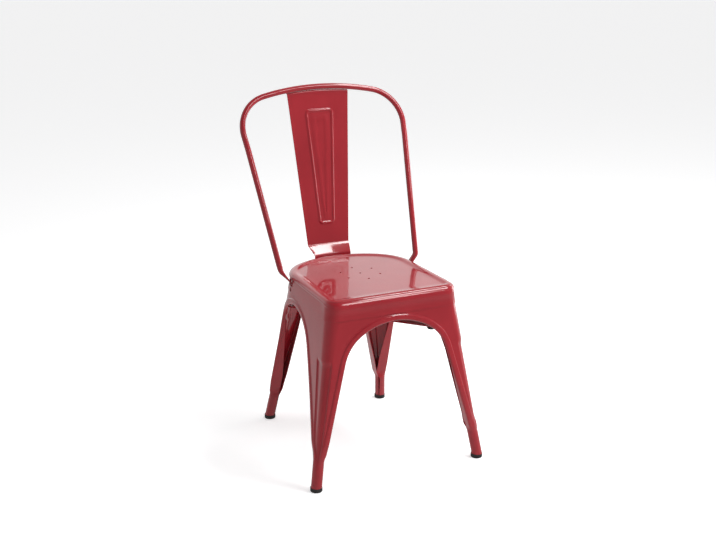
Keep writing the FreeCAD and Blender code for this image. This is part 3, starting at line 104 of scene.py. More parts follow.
# Steps round half the seat: front, front corner, side, notch, rest of the rear corner, rear
SEAT_COUNTS = (22, 10, 34, 6, 16, 10)
NOTCH_FIRST = sum(SEAT_COUNTS[:3])
NOTCH_LAST = NOTCH_FIRST + SEAT_COUNTS[3]
NOTCH_HALF, NOTCH_SILL, SCREW_DROP, SCREW_HOLE_RADIUS = 13.0, 402.0, 8.5, 4.8
DRAIN_POINTS, SCREW_HOLE_POINTS = 16, 20
DRAIN_RADIUS, DRAIN_CIRCLE, DRAIN_CENTRE, DRAIN_RING_COUNT = 2.75, 47.6, 9.6, 6

# Back tube: two points of its straight leg, the heights of its turn above the seat and of its bend
# at the shoulder, the bends' radii, its top's middle and arcs, and its flat ends
TUBE_RADIUS = 7.0
HOOP_LOW, HOOP_HIGH = Vector((182.9, 81.6, 470.0)), Vector((213.1, 207.6, 750.0))
HOOP_TURN, HOOP_BEND, HOOP_RADII = 440.0, 712.0, (6.0, 16.0, 260.0)
HOOP_TOP, HOOP_TOP_RADIUS, HOOP_SHOULDER = Vector((0.0, 260.0, 840.98)), 638.0, 88.0
TAB_HALF, TAB_DEEP, TAB_LENGTH, TAB_LIFT, TAB_GAP = 10.0, 1.6, 27.0, 1.5, 0.3
TAB_ROUND, TAB_FLAT = 453.0, 410.0

# Back slat: its bend above the seat, its half widths, the heights of its lower end, of the step under
# the rim, of its foot and of its plate, and its rolled top edge
SLAT_BEND_Y, SLAT_BEND_Z, SLAT_LEAN = 197.0, 456.0, math.radians(9.1)
SLAT_RISE, SLAT_BACK = math.cos(SLAT_LEAN), math.sin(SLAT_LEAN)
SLAT_SEAT_HALF, SLAT_BEND_HALF, SLAT_TOP_HALF = 48.5, 55.6, 81.4
SLAT_END, SLAT_STEP, SLAT_LOW, SLAT_PLATE = 399.0, 415.0, 436.0, 464.0
SLAT_RADII, SLAT_GAP, RIM_GAP = (4.0, 4.0, 7.0, 7.0), 0.2, 0.4
SLAT_ROLL, SLAT_HEM, SLAT_ROLL_STEPS = 4.0, 7.0, 8
BEAD_WIDTH, BEAD_DEPTH, BEAD_CORNER, BEAD_FLANK = 8.5, 1.7, 8.0, 0.8
BEAD_TOP, BEAD_TOP_HALF, BEAD_BOTTOM, BEAD_BOTTOM_HALF = 783.5, 34.0, 508.0, 18.0

# Distances between points of the meshes
ROW_FINE, ROW_COARSE, ROW_MARGIN, ANKLE_MARGIN = 2.0, 4.0, 4.0, 14.0
RIM_STEP, APRON_STEP, APRON_END_COUNT, PANEL_STEP, NOTCH_STEP, PATH_STEP = 4.0, 5.0, 8, 9.0, 3.0, 6.0
# How far a grid keeps from its border, in steps, and how far a hole reaches, in radii
GRID_CLEAR, HOLE_SHARE = 0.6, 0.98

# The CAD frame's zero lies under the middle of the chair's depth
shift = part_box("seat_pan")[0].y / MM + SEAT_FRONT + RIM_OVERHANG


# Numbers and points

def mix(low, high, share):
    return low + (high - low) * share


def limit(value):
    return min(max(value, 0.0), 1.0)


def smooth(value):
    """0 below 0, 1 above 1, and a soft step between."""
    value = limit(value)
    return value * value * (3 - 2 * value)


def steps(start, stop, count):
    """Values in equal steps, from the first one after the start to the stop."""
    return [mix(start, stop, index / count) for index in range(1, count + 1)]


def spaced(stops, counts):
    """Values from the first stop to the last, in a count of equal steps between each two."""
    values = [stops[0]]
    for start, stop, count in zip(stops, stops[1:], counts):
        values += steps(start, stop, count)
    return values


def line(start, stop, count):
    """Flat points in equal steps, from the first one after the start to the stop."""
    return list(zip(*[steps(start[axis], stop[axis], count) for axis in (0, 1)]))


def circle_loop(centre, radius, count, start=0.0):
    angles = [start + 2 * math.pi * index / count for index in range(count)]
    return [(centre[0] + radius * math.cos(angle), centre[1] + radius * math.sin(angle))
            for angle in angles]


def step_middles(values, step):
    """The middles of equal steps from the lowest of some values to the highest."""
    low = min(values)
    count = math.ceil((max(values) - low) / step - 0.5)
    return [low + step * (index + 0.5) for index in range(count)]


def fill_loop(loop, spacing, holes=()):
    """Points and triangles that fill a closed loop round its round holes, on an even grid.
    A hole is (centre, radius, count of its points)."""
    border = [Vector(point) for point in loop]
    rings = [[Vector(point) for point in circle_loop(*hole)] for hole in holes]
    corners = border + [point for ring in rings for point in ring]
    columns, rows = [step_middles([corner[axis] for corner in corners], spacing) for axis in (0, 1)]
    clear = spacing * GRID_CLEAR

    def is_free(point):
        in_hole = any((point - Vector(hole[0])).length < hole[1] + clear for hole in holes)
        return not in_hole and all((point - corner).length > clear for corner in corners)

    grid = [Vector((x, y)) for y in rows for x in columns]
    points = corners + [point for point in grid if is_free(point)]
    edges, start = [], 0
    for ring in [border, *rings]:
        edges += [(start + index, start + (index + 1) % len(ring)) for index in range(len(ring))]
        start += len(ring)
    inside_only, tolerance = 1, 1e-5
    filled = delaunay_2d_cdt(points, edges, [list(range(len(border)))], inside_only, tolerance)
    flat, triangles = filled[0], filled[2]

    def is_kept(triangle):
        middle = sum((flat[index] for index in triangle), Vector((0, 0))) / 3
        return all((middle - Vector(hole[0])).length > hole[1] * HOLE_SHARE for hole in holes)

    return flat, [triangle for triangle in triangles if is_kept(triangle)]


class Mesh:
    """Points and faces, where the same point is kept once."""

    def __init__(self):
        self.points, self.faces, self.index_of = [], [], {}

    def add(self, point):
        key = tuple(round(value, 3) for value in point)
        if key not in self.index_of:
            self.index_of[key] = len(self.points)
            self.points.append(point)
        return self.index_of[key]

    def join(self, first, second):
        """Quads between two rows of indices of equal length."""
        self.faces += zip(first, second, second[1:], first[1:])

    def fill(self, loop, spacing, to_point, holes=(), way=1):
        """Triangles inside a flat loop, whose points are then placed on the piece. Way -1 flips them."""
        flat, triangles = fill_loop(loop, spacing, holes)
        indices = [self.add(to_point(*point)) for point in flat]
        self.faces += [tuple(indices[index] for index in triangle)[::way] for triangle in triangles]


# Outline of legs and skirt

class Outline:
    """The skin's outline at one height, moved inwards by an inset.
    A run is a distance along it from the middle of the front, and a spot is (run, height)."""

    def __init__(self, height, inset):
        share = height / CREASE
        self.front = [mix(a, b, share) for a, b in zip(FRONT_FOOT, FRONT_CORNER)]
        self.rear = [mix(a, b, share) for a, b in zip(REAR_FOOT, REAR_CORNER)]
        self.front_radius = mix(FOOT_CORNER_RADIUS, FRONT_CORNER_RADIUS, share) - inset
        self.rear_radius = mix(FOOT_CORNER_RADIUS, REAR_CORNER_RADIUS, share) - inset
        reach = mix(FLOOR_REAR, SEAT_REAR, share) - inset
        along = self.rear[0] - self.front[0], self.rear[1] - self.front[1]
        gap = math.hypot(*along)
        turn = math.asin((self.front_radius - self.rear_radius) / gap)
        self.side = math.atan2(along[1], along[0]) - math.pi / 2 + turn
        depth = reach - self.rear[1]
        squares = self.rear[0] ** 2 + depth ** 2 - self.rear_radius ** 2
        self.arc = squares / (2 * (depth - self.rear_radius))
        self.arc_centre = reach - self.arc
        self.rear_end = math.atan2(self.rear[1] - self.arc_centre, self.rear[0])
        self.front_stop = self.front[0]
        self.side_start = self.front_stop + self.front_radius * (self.side + math.pi / 2)
        self.side_stop = self.side_start + gap * math.cos(turn)
        self.rear_stop = self.side_stop + self.rear_radius * (self.rear_end - self.side)

    def on_front_corner(self, angle):
        return self.front_stop + self.front_radius * (angle + math.pi / 2)

    def on_rear_corner(self, angle):
        return self.side_stop + self.rear_radius * (angle - self.side)

    def at_front(self, x):
        if x <= self.front[0]:
            return x
        return self.on_front_corner(-math.acos((x - self.front[0]) / self.front_radius))

    def at_side(self, y):
        start = self.front[1] + self.front_radius * math.sin(self.side)
        stop = self.rear[1] + self.rear_radius * math.sin(self.side)
        if y < start:
            return self.on_front_corner(math.asin((y - self.front[1]) / self.front_radius))
        if y > stop:
            return self.on_rear_corner(math.asin((y - self.rear[1]) / self.rear_radius))
        return self.side_start + (y - start) / math.cos(self.side)

    def before_side_seam(self, across):
        return self.at_side(SIDE_SEAM - across)

    def after_side_seam(self, across):
        return self.at_side(SIDE_SEAM + across)

    def at_rear(self, x):
        if x >= self.rear[0] + self.rear_radius * math.cos(self.rear_end):
            return self.on_rear_corner(math.acos((x - self.rear[0]) / self.rear_radius))
        return self.rear_stop + self.arc * (math.acos(x / self.arc) - self.rear_end)

    def point(self, run):
        """Place and outward direction at a distance along the outline."""
        if run <= self.front_stop:
            return (run, self.front[1] - self.front_radius), (0.0, -1.0)
        if run <= self.side_start:
            centre, radius = self.front, self.front_radius
            angle = -math.pi / 2 + (run - self.front_stop) / radius
        elif run <= self.side_stop:
            outward = (math.cos(self.side), math.sin(self.side))
            ahead = run - self.side_start
            return ((self.front[0] + outward[0] * self.front_radius - outward[1] * ahead,
                     self.front[1] + outward[1] * self.front_radius + outward[0] * ahead), outward)
        elif run <= self.rear_stop:
            centre, radius = self.rear, self.rear_radius
            angle = self.side + (run - self.side_stop) / radius
        else:
            centre, radius = (0.0, self.arc_centre), self.arc
            angle = self.rear_end + (run - self.rear_stop) / radius
        outward = (math.cos(angle), math.sin(angle))
        return (centre[0] + radius * outward[0], centre[1] + radius * outward[1]), outward


@functools.cache
def leg_outline(height):
    return Outline(height, LEG_INSET)


@functools.cache
def skirt_outline(height):
    return Outline(height, 0.0)


def skin(run, height, sunk=0.0):
    """A point of the legs' outer face, or sunk below it."""
    place, outward = leg_outline(height).point(run)
    return Vector((place[0] - outward[0] * sunk, place[1] - outward[1] * sunk, height))


# The back tube's end stands upright behind a notch in the rear corner of the skirt
screw_height = NOTCH_SILL - SCREW_DROP
hoop_rise = (HOOP_HIGH - HOOP_LOW) / (HOOP_HIGH.z - HOOP_LOW.z)
hoop_turn = HOOP_LOW + hoop_rise * (HOOP_TURN - HOOP_LOW.z)
hoop_bend = HOOP_LOW + hoop_rise * (HOOP_BEND - HOOP_LOW.z)
hoop_up = Vector((0.0, HOOP_TOP.y - hoop_bend.y, HOOP_TOP.z - hoop_bend.z))
screw_outline = skirt_outline(screw_height)
tab_base = Vector((*screw_outline.rear, 0.0))
tab_out = Vector((hoop_turn.x - tab_base.x, hoop_turn.y - tab_base.y, 0.0)).normalized()
tab_along = Vector((-tab_out.y, tab_out.x, 0.0))
screw_skin = tab_base + tab_out * screw_outline.rear_radius


def run_beside_screw(outline, aside):
    """The run at which the outline passes a distance beside the screw's upright plane."""
    low, high = outline.side_start, outline.rear_stop
    halvings = 40
    for _ in range(halvings):
        middle = (low + high) / 2
        place = outline.point(middle)[0]
        offset = (place[0] - screw_skin.x) * tab_along.x + (place[1] - screw_skin.y) * tab_along.y
        low, high = (middle, high) if offset < aside else (low, middle)
    return low


def beside_notch(outline_at, side, heights):
    """Spots at one side of the notch."""
    return [(run_beside_screw(outline_at(height), side * NOTCH_HALF), height) for height in heights]


# Arches between the legs

class Arch:
    """Half of an arch: arcs from the leg up to the crown, and the leg's straight edge below them.
    Each arc is (centre across, centre height, radius, lowest angle, highest angle)."""

    def __init__(self, kind, arcs, to_run, inward):
        self.kind = kind
        self.arcs = arcs
        self.to_run = to_run
        self.inward = Vector(inward)

    def across(self, height):
        centre, base, radius, low, high = self.arcs[0]
        end = base + radius * math.sin(low)
        if height <= end:
            return centre + radius * math.cos(low) + (end - height) * math.tan(low)
        rounding = 1e-6
        for centre, base, radius, low, high in self.arcs:
            if height <= base + radius * math.sin(high) + rounding:
                return centre + math.sqrt(max(radius ** 2 - (height - base) ** 2, 0.0))
        return SEAM

    def path_up(self, start, step):
        """Points (across, height) from a height up to the seam at the crown."""
        points = [(self.across(start), start)]
        for centre, base, radius, low, high in self.arcs:
            if start > base + radius * math.sin(low):
                low = math.asin(min((start - base) / radius, 1.0))
            if low >= high:
                continue
            count = max(2, round(radius * (high - low) / step))
            for angle in steps(low, high, count):
                points.append((centre + radius * math.cos(angle), base + radius * math.sin(angle)))
        points = [point for point in points if point[0] > SEAM + SEAM_CLEAR]
        crown = self.arcs[-1][1] + self.arcs[-1][2]
        return points + [(SEAM, crown)]

    def spot(self, across, height):
        return self.to_run(leg_outline(height), across), height


def front_arch():
    """The front arch has a wide crown arc, a shoulder arc and a straight leg edge."""
    crown, radius, shoulder = 369.6, 160.0, 96.0
    spread, spread_height, lean = 188.8, 70.0, math.radians(15.6)
    outward = (math.cos(lean), math.sin(lean))
    low = crown - radius
    across = spread * outward[0] + spread_height * outward[1] - shoulder - low * outward[1]
    along = math.sqrt((radius - shoulder) ** 2 - across ** 2)
    centre = (across * outward[0] - along * outward[1], low + across * outward[1] + along * outward[0])
    touch = math.atan2(centre[1] - low, centre[0])
    arcs = [(centre[0], centre[1], shoulder, lean, touch), (0.0, low, radius, touch, math.pi / 2)]
    return Arch("front", arcs, Outline.at_front, (0, 1, 0))


def round_arch(kind, size, to_run, inward):
    """An arch of one arc and the leg's straight edge."""
    radius, degrees = size
    arcs = [(0.0, SIDE_CROWN - radius, radius, math.radians(degrees), math.pi / 2)]
    return Arch(kind, arcs, to_run, inward)


def leg_arches(kind):
    """A leg's two arches, in the order in which the outline meets them."""
    if kind == "front":
        return front_arch(), round_arch(kind, ARCH_BEFORE, Outline.before_side_seam, (-1, 0, 0))
    side = round_arch(kind, ARCH_AFTER, Outline.after_side_seam, (-1, 0, 0))
    return side, round_arch(kind, ARCH_REAR, Outline.at_rear, (0, -1, 0))


def way_beside(low, high, side):
    """Direction square to the line between two spots, on one side of it."""
    rise = Vector((high[0] - low[0], high[1] - low[1])).normalized()
    return -rise.y * side, rise.x * side


def edge_way(arch, height, side):
    """Direction from the sheet into the arch at a height, in the outline's own plane."""
    probe = 0.5
    low, high = [arch.spot(arch.across(level), level) for level in (height - probe, height + probe)]
    return way_beside(low, high, side)


def step_back(edge, way, distance):
    """The spot a distance back from an edge, into the sheet."""
    return edge[0] - way[0] * distance, edge[1] - way[1] * distance


# Legs

def flute_limits(kind, outline, height, left, right):
    """Start and end of the recess along the outline, kept clear of the rolled edges."""
    if kind == "front":
        low = outline.on_front_corner(FLUTE_FRONT_ANGLE)
        share = (height - ANKLE) / (FLUTE_HIGH - ANKLE)
        high = outline.side_start + mix(FLUTE_SIDE_LOW, FLUTE_SIDE_HIGH, share)
    else:
        low, high = [outline.on_rear_corner(angle) for angle in FLUTE_REAR_ANGLES]
    return max(low, left + FLUTE_CLEAR), min(high, right - FLUTE_CLEAR)


def flute_depth(run, height, low, high, wall):
    """Depth of the recess: a trough with soft walls that fades at its top and runs into the foot."""
    fade = smooth((FLUTE_HIGH - height) / FLUTE_FADE)
    return FLUTE_DEPTH * smooth(min(run - low, high - run) / wall) * fade


def rim_points(arch, edge, way, band, proud):
    """The raised band, the rolled edge and the lip at an edge's spot, from the face to the lip's end.
    The lip is deep near the foot and only a rolled edge above."""

    def behind(distance, sunk):
        return skin(*step_back(edge, way, distance), sunk)

    points = [behind(band * share, -proud * smooth((1 - share) / BAND_STEP)) for share in BAND_SHARES]
    corner = skin(*edge, -proud)
    first = behind(min(LIP_ROLL, band / 2), -proud)
    last = corner + arch.inward * LIP_ROLL
    # A curve with these holds is close to a quarter of a circle
    quarter_hold = 0.5523
    first_hold, last_hold = first.lerp(corner, quarter_hold), last.lerp(corner, quarter_hold)
    for t in [0.0] + steps(0.0, 1.0, ROLL_STEPS):
        points.append(first * (1 - t) ** 3 + first_hold * 3 * (1 - t) ** 2 * t
                      + last_hold * 3 * (1 - t) * t ** 2 + last * t ** 3)
    deepest, low, high = LIP_LAW[arch.kind]
    end = corner + arch.inward * mix(LIP_SHORT, deepest, limit((high - edge[1]) / (high - low)))
    return points + [last.lerp(end, 1 / 3), last.lerp(end, 2 / 3), end]


def foot_point(kind, share, height):
    """A point round the rolled foot: share 0 and 1 lie at the two sides of its seam."""
    outline = leg_outline(ANKLE)
    if kind == "front":
        lower, corner, radius = FRONT_FOOT, outline.front, outline.front_radius
    else:
        lower, corner, radius = REAR_FOOT, outline.rear, outline.rear_radius
    slack, turn = radius - FOOT_RADIUS - SHEET / 2, FOOT_TURN[kind]
    upper = corner[0] + slack * math.cos(turn), corner[1] + slack * math.sin(turn)
    part = height / ANKLE
    centre = mix(lower[0], upper[0], part), mix(lower[1], upper[1], part)
    slit = mix(SLIT_FLOOR, SLIT_ANKLE, min(part, 1.0)) / 2 / FOOT_RADIUS
    inward = math.atan2(-lower[1], -lower[0])
    start = inward - 2 * math.pi if kind == "front" else inward
    angle = start + slit + share * (2 * math.pi - 2 * slit)
    x = centre[0] + FOOT_RADIUS * math.cos(angle)
    y = centre[1] + FOOT_RADIUS * math.sin(angle)
    return Vector((x, y, height))


def section(kind, arches, height):
    """One row round the leg: lip, roll, face, corner, face, roll and lip. With it come the spots of
    its part between the two bands."""
    edges = [arch.spot(arch.across(height), height) for arch in arches]
    ways = [edge_way(arch, height, side) for arch, side in zip(arches, (1, -1))]
    band = min(BAND, BAND_MOST * (edges[1][0] - edges[0][0]))
    lower = BAND_PROUD if kind == "front" else BAND_PROUD_REAR
    proud = mix(lower, BAND_PROUD, smooth((height - BAND_RISE) / (ROW_TOP - BAND_RISE)))
    proud *= smooth((height - ANKLE) / BAND_FADE)
    rims = [rim_points(*place, band, proud) for place in zip(arches, edges, ways)]
    left, right = [step_back(edge, way, band) for edge, way in zip(edges, ways)]
    low, high = flute_limits(kind, leg_outline(height), height, left[0], right[0])
    wall = min(FLUTE_WALL, (high - low) / 3)
    stops = (left[0], low, low + wall, high - wall, high, right[0])
    face, spots = [], [left]
    for run in spaced(stops, FACE_COUNTS)[1:-1]:
        level = mix(left[1], right[1], (run - left[0]) / (right[0] - left[0]))
        face.append(skin(run, level, flute_depth(run, level, low, high, wall)))
        spots.append((run, level))
    return rims[0][::-1] + face + rims[1], spots + [right]


def row_shares(row):
    """How far along the row each of its points lies, from 0 to 1."""
    lengths = [0.0]
    for first, second in zip(row, row[1:]):
        lengths.append(lengths[-1] + (second - first).length)
    return [length / lengths[-1] for length in lengths]


def row_heights():
    """Heights of the leg's rows, closer together at the ankle and at the recess's top end."""
    heights = []
    height = FOOT_BOTTOM
    while height < ROW_TOP - ROW_FINE / 2:
        heights.append(height)
        at_flute_end = FLUTE_HIGH - FLUTE_FADE - ROW_MARGIN < height < FLUTE_HIGH + ROW_MARGIN
        at_ankle = FOOT_TOP - ROW_MARGIN < height < ANKLE + ANKLE_MARGIN
        height += ROW_FINE if at_flute_end or at_ankle else ROW_COARSE
    return heights + [ROW_TOP]


def apron_patch(kind, arches, spots):
    """The sheet above the rows: the rims along its two arches, and the loop of spots round its face."""
    rims, borders = [], []
    for arch, side in zip(arches, (1, -1)):
        path = [arch.spot(*point) for point in arch.path_up(ROW_TOP, RIM_STEP)]
        neighbours = zip(path[:1] + path, path[1:] + path[-1:])
        ways = [way_beside(before, after, side) for before, after in neighbours]
        ways[0], ways[-1] = edge_way(arch, ROW_TOP, side), (0.0, -1.0)
        rims.append([rim_points(arch, edge, way, BAND, BAND_PROUD) for edge, way in zip(path, ways)])
        borders.append([step_back(edge, way, BAND) for edge, way in zip(path, ways)])
    left, right = borders
    top = [(right[-1][0], APRON_TOP), (left[-1][0], APRON_TOP)]
    loop = spots + right[1:] + line(right[-1], top[0], APRON_END_COUNT)
    if kind == "rear":
        top[1:1] = (beside_notch(leg_outline, 1, (APRON_TOP, NOTCH_SILL))
                    + beside_notch(leg_outline, -1, (NOTCH_SILL, APRON_TOP)))
    for start, stop in zip(top, top[1:]):
        loop += line(start, stop, max(1, round(math.dist(start, stop) / APRON_STEP)))
    loop += line(top[-1], left[-1], APRON_END_COUNT)[:-1]
    return rims, loop + left[:0:-1]


def make_leg_mesh(kind):
    """The leg's outer face, for the chair's right side."""
    arches = leg_arches(kind)
    mesh = Mesh()
    shares = row_shares(section(kind, arches, ANKLE)[0])
    blend_top = ANKLE + ANKLE_BLEND
    previous = None
    for height in row_heights():
        row = [foot_point(kind, share, height) for share in shares]
        if height >= FOOT_TOP:
            pressed, spots = section(kind, arches, height)
            part = smooth((blend_top - height) / (blend_top - FOOT_TOP))
            row = [point.lerp(round_point, part) for point, round_point in zip(pressed, row)]
        indices = [mesh.add(point) for point in row]
        if previous:
            mesh.faces += zip(previous, previous[1:], indices[1:], indices)
        previous = indices
    rims, loop = apron_patch(kind, arches, spots)
    for columns, way in zip(rims, (-1, 1)):
        rows = [[mesh.add(point) for point in rim] for rim in columns]
        for first, second in zip(rows, rows[1:]):
            mesh.faces += [quad[::way] for quad in zip(first, first[1:], second[1:], second)]
    mesh.fill(loop, APRON_STEP, skin)
    return mesh


# Seat pan

@functools.cache
def seat_stations(outline):
    """Runs of a loop's points on one side of the chair, with the notch's sides among them."""
    notch = [run_beside_screw(outline, aside) for aside in (-NOTCH_HALF, NOTCH_HALF)]
    stops = [0.0, outline.front_stop, outline.side_start, *notch, outline.rear_stop, outline.at_rear(0.0)]
    return spaced(stops, SEAT_COUNTS)


def rim_point(side, front, station):
    """A point of the rim or skirt at a station along the seat's outline. The front's form fades out
    past the front corner."""
    crease = skirt_outline(CREASE)
    fade = crease.side_start - crease.front_stop + FRONT_FADE
    share = 1 - smooth((seat_stations(crease)[station] - crease.front_stop) / fade)
    out, height = mix(side[0], front[0], share), mix(side[1], front[1], share)
    outline = skirt_outline(min(height, CREASE))
    place, outward = outline.point(seat_stations(outline)[station])
    return Vector((place[0] + outward[0] * out, place[1] + outward[1] * out, height))


def fill_below_notch(mesh, way):
    """The skirt under the notch, round the screw's hole. Way is 1 on the right and -1 on the left."""
    levels = [height for height in SKIRT_ROWS if height <= NOTCH_SILL]
    left, right = [beside_notch(skirt_outline, side, levels) for side in (-1, 1)]
    width = NOTCH_LAST - NOTCH_FIRST
    top = [left[0]] + line(left[0], right[0], width)
    loop = [left[-1]] + line(left[-1], right[-1], width) + right[-2:0:-1] + top[::-1] + left[1:-1]
    centre = (run_beside_screw(screw_outline, 0.0), screw_height)

    def on_skirt(run, height):
        place = skirt_outline(height).point(run)[0]
        return Vector((way * place[0], place[1], height))

    mesh.fill(loop, NOTCH_STEP, on_skirt, [(centre, SCREW_HOLE_RADIUS, SCREW_HOLE_POINTS)], way)


def make_seat_mesh():
    """The seat's outer face: the panel with its drain holes, the rim, and the skirt with two notches."""
    mesh = Mesh()
    sides = RIM_SIDE + tuple((0.0, height) for height in SKIRT_ROWS)
    rows = []
    for side, front in zip(sides, RIM_FRONT + SKIRT_FRONT):
        half = [rim_point(side, front, station) for station in range(sum(SEAT_COUNTS) + 1)]
        loop = half + [Vector((-point.x, point.y, point.z)) for point in half[-2:0:-1]]
        rows.append([mesh.add(point) for point in loop])
    around = len(rows[0])
    for level, (upper, lower) in enumerate(zip(rows, rows[1:])):
        for column in range(around):
            following = (column + 1) % around
            at_notch = NOTCH_FIRST <= min(column, around - 1 - column) < NOTCH_LAST
            if level < len(RIM_SIDE) or not at_notch:
                mesh.faces.append((upper[column], lower[column], lower[following], upper[following]))
    middle = (0.0, DRAIN_CENTRE)
    centres = [middle] + circle_loop(middle, DRAIN_CIRCLE, DRAIN_RING_COUNT, math.pi / 2)
    drains = [(centre, DRAIN_RADIUS, DRAIN_POINTS) for centre in centres]
    panel = [mesh.points[index].xy for index in rows[0]]
    mesh.fill(panel, PANEL_STEP, lambda x, y: Vector((x, y, DISH_TOP)), drains)
    for way in (1, -1):
        fill_below_notch(mesh, way)
    return mesh


# Back tube

def rounded_path(corners, radii, count):
    """Points along straight runs whose corners are rounded with arcs."""
    path = [corners[0]]
    for before, corner, after, radius in zip(corners, corners[1:], corners[2:], radii):
        first, second = (before - corner).normalized(), (after - corner).normalized()
        half_angle = first.angle(second) / 2
        reach = radius / math.tan(half_angle)
        centre = corner + (first + second).normalized() * (radius / math.sin(half_angle))
        start, end = corner + first * reach - centre, corner + second * reach - centre
        for share in [0.0] + steps(0.0, 1.0, count):
            path.append(centre + start.slerp(end, share) * radius)
    return path + [corners[-1]]


def spread_along(path, step):
    """Points on a path's straight runs no further apart than a step."""
    points = [path[0]]
    for start, end in zip(path, path[1:]):
        count = max(1, math.ceil((end - start).length / step))
        points += [start.lerp(end, share) for share in steps(0.0, 1.0, count)]
    return points


def tab_reach(height):
    """How far the flat end may reach before its edges meet the leg's inner wall."""
    outline = leg_outline(height)
    radius = outline.rear_radius - SHEET - TAB_GAP
    reaches = []
    for aside in (-TAB_HALF, TAB_HALF):
        offset = tab_base + tab_along * aside - Vector((*outline.rear, 0.0))
        ahead = offset.dot(tab_out)
        reaches.append(math.sqrt(ahead ** 2 - offset.length_squared + radius ** 2) - ahead)
    return min(reaches)


def hoop_path():
    """The tube's centre line on the right side, from its flat end to the middle of its top."""
    reach = min(tab_reach(NOTCH_SILL), tab_reach(NOTCH_SILL - TAB_LENGTH))
    tab = tab_base + tab_out * (reach - TAB_DEEP)
    low = Vector((tab.x, tab.y, NOTCH_SILL - TAB_LENGTH))
    lifted = Vector((tab.x, tab.y, NOTCH_SILL + TAB_LIFT))
    up = hoop_up.normalized()
    lean = math.atan(hoop_rise.x / math.hypot(hoop_rise.y, hoop_rise.z))
    outward, along = (math.cos(lean), -math.sin(lean)), (math.sin(lean), math.cos(lean))
    base = hoop_up.length - HOOP_TOP_RADIUS
    offset = hoop_bend.x * outward[0] - HOOP_SHOULDER
    across = offset - base * outward[1]
    rise = math.sqrt((HOOP_TOP_RADIUS - HOOP_SHOULDER) ** 2 - across ** 2) + base * along[1]
    shoulder = (offset * outward[0] + rise * along[0], offset * outward[1] + rise * along[1])
    touch = math.atan2(shoulder[1] - base, shoulder[0])

    def in_plane(centre, radius, angle):
        above = up * (centre[1] + radius * math.sin(angle))
        return Vector((centre[0] + radius * math.cos(angle), hoop_bend.y, hoop_bend.z)) + above

    bend_steps, shoulder_steps, top_steps = 8, 30, 16
    leg_end = in_plane(shoulder, HOOP_SHOULDER, -lean)
    path = rounded_path([low, lifted, hoop_turn, hoop_bend, leg_end], HOOP_RADII, bend_steps)
    path = spread_along(path, PATH_STEP)
    path += [in_plane(shoulder, HOOP_SHOULDER, angle) for angle in steps(-lean, touch, shoulder_steps)]
    middle = (0.0, base)
    path += [in_plane(middle, HOOP_TOP_RADIUS, angle) for angle in steps(touch, math.pi / 2, top_steps)]
    return path


def tube_section(flatness):
    """Outline of the tube, from round at 0 to a flat strip with round edges at 1."""
    end_count, side_count, open_angle = 8, 6, math.radians(50)
    half = []
    for share in [0.0] + steps(0.0, 1.0, end_count)[:-1]:
        turn = mix(-math.pi / 2, math.pi / 2, share)
        flat = (TAB_HALF - TAB_DEEP + TAB_DEEP * math.cos(turn), TAB_DEEP * math.sin(turn))
        half.append((mix(-open_angle, open_angle, share), flat))
    for share in [0.0] + steps(0.0, 1.0, side_count)[:-1]:
        flat = (mix(1, -1, share) * (TAB_HALF - TAB_DEEP), TAB_DEEP)
        half.append((mix(open_angle, math.pi - open_angle, share), flat))
    points = [(mix(TUBE_RADIUS * math.cos(angle), flat[0], flatness),
               mix(TUBE_RADIUS * math.sin(angle), flat[1], flatness)) for angle, flat in half]
    return points + [(-across, -deep) for across, deep in points]


def square_to(direction, wanted):
    """The wanted direction, turned until it is square to another one."""
    return (wanted - direction * wanted.dot(direction)).normalized()


def make_hoop_mesh():
    """The tube, whose section flattens towards both ends."""
    half = hoop_path()
    path = half + [Vector((-point.x, point.y, point.z)) for point in half[-2::-1]]
    far_tab_along = Vector((-tab_along.x, tab_along.y, 0.0))
    mesh = Mesh()
    wide = tab_along.copy()
    rows = []
    for index, point in enumerate(path):
        direction = (path[min(index + 1, len(path) - 1)] - path[max(index - 1, 0)]).normalized()
        wide = square_to(direction, wide)
        if index > len(half) and point.z < HOOP_LOW.z:
            wide = square_to(direction, far_tab_along) * (-1 if wide.dot(far_tab_along) < 0 else 1)
        deep = direction.cross(wide)
        flatness = smooth((TAB_ROUND - point.z) / (TAB_ROUND - TAB_FLAT))
        rows.append([mesh.add(point + wide * across + deep * back)
                     for across, back in tube_section(flatness)])
    for first, second in zip(rows, rows[1:]):
        mesh.join(first + first[:1], second + second[:1])
    mesh.faces.append(tuple(rows[0]))
    mesh.faces.append(tuple(rows[-1][::-1]))
    return mesh


# Back slat

def bead_distance(across, height):
    """Distance from the middle line of the slat's bead, a loop with round corners."""
    slope = (BEAD_TOP_HALF - BEAD_BOTTOM_HALF) / (BEAD_TOP - BEAD_BOTTOM)
    top = (BEAD_TOP_HALF - BEAD_CORNER, BEAD_TOP - BEAD_CORNER)
    bottom = (BEAD_BOTTOM_HALF - BEAD_CORNER + slope * BEAD_CORNER, BEAD_BOTTOM + BEAD_CORNER)
    corners = [(0.0, top[1]), top, bottom, (0.0, bottom[1])]
    x = abs(across)
    gaps, inside = [], True
    for (ax, ay), (bx, by) in zip(corners, corners[1:]):
        ex, ey = bx - ax, by - ay
        share = limit(((x - ax) * ex + (height - ay) * ey) / (ex * ex + ey * ey))
        gaps.append(math.hypot(x - ax - ex * share, height - ay - ey * share))
        inside = inside and (x - ax) * ey - (height - ay) * ex <= 0
    nearest = min(gaps)
    return abs((-nearest if inside else nearest) - BEAD_CORNER)


def bead_height(across, height):
    share = bead_distance(across, height) / (BEAD_WIDTH / 2)
    return BEAD_DEPTH * smooth((1 - share) / BEAD_FLANK)


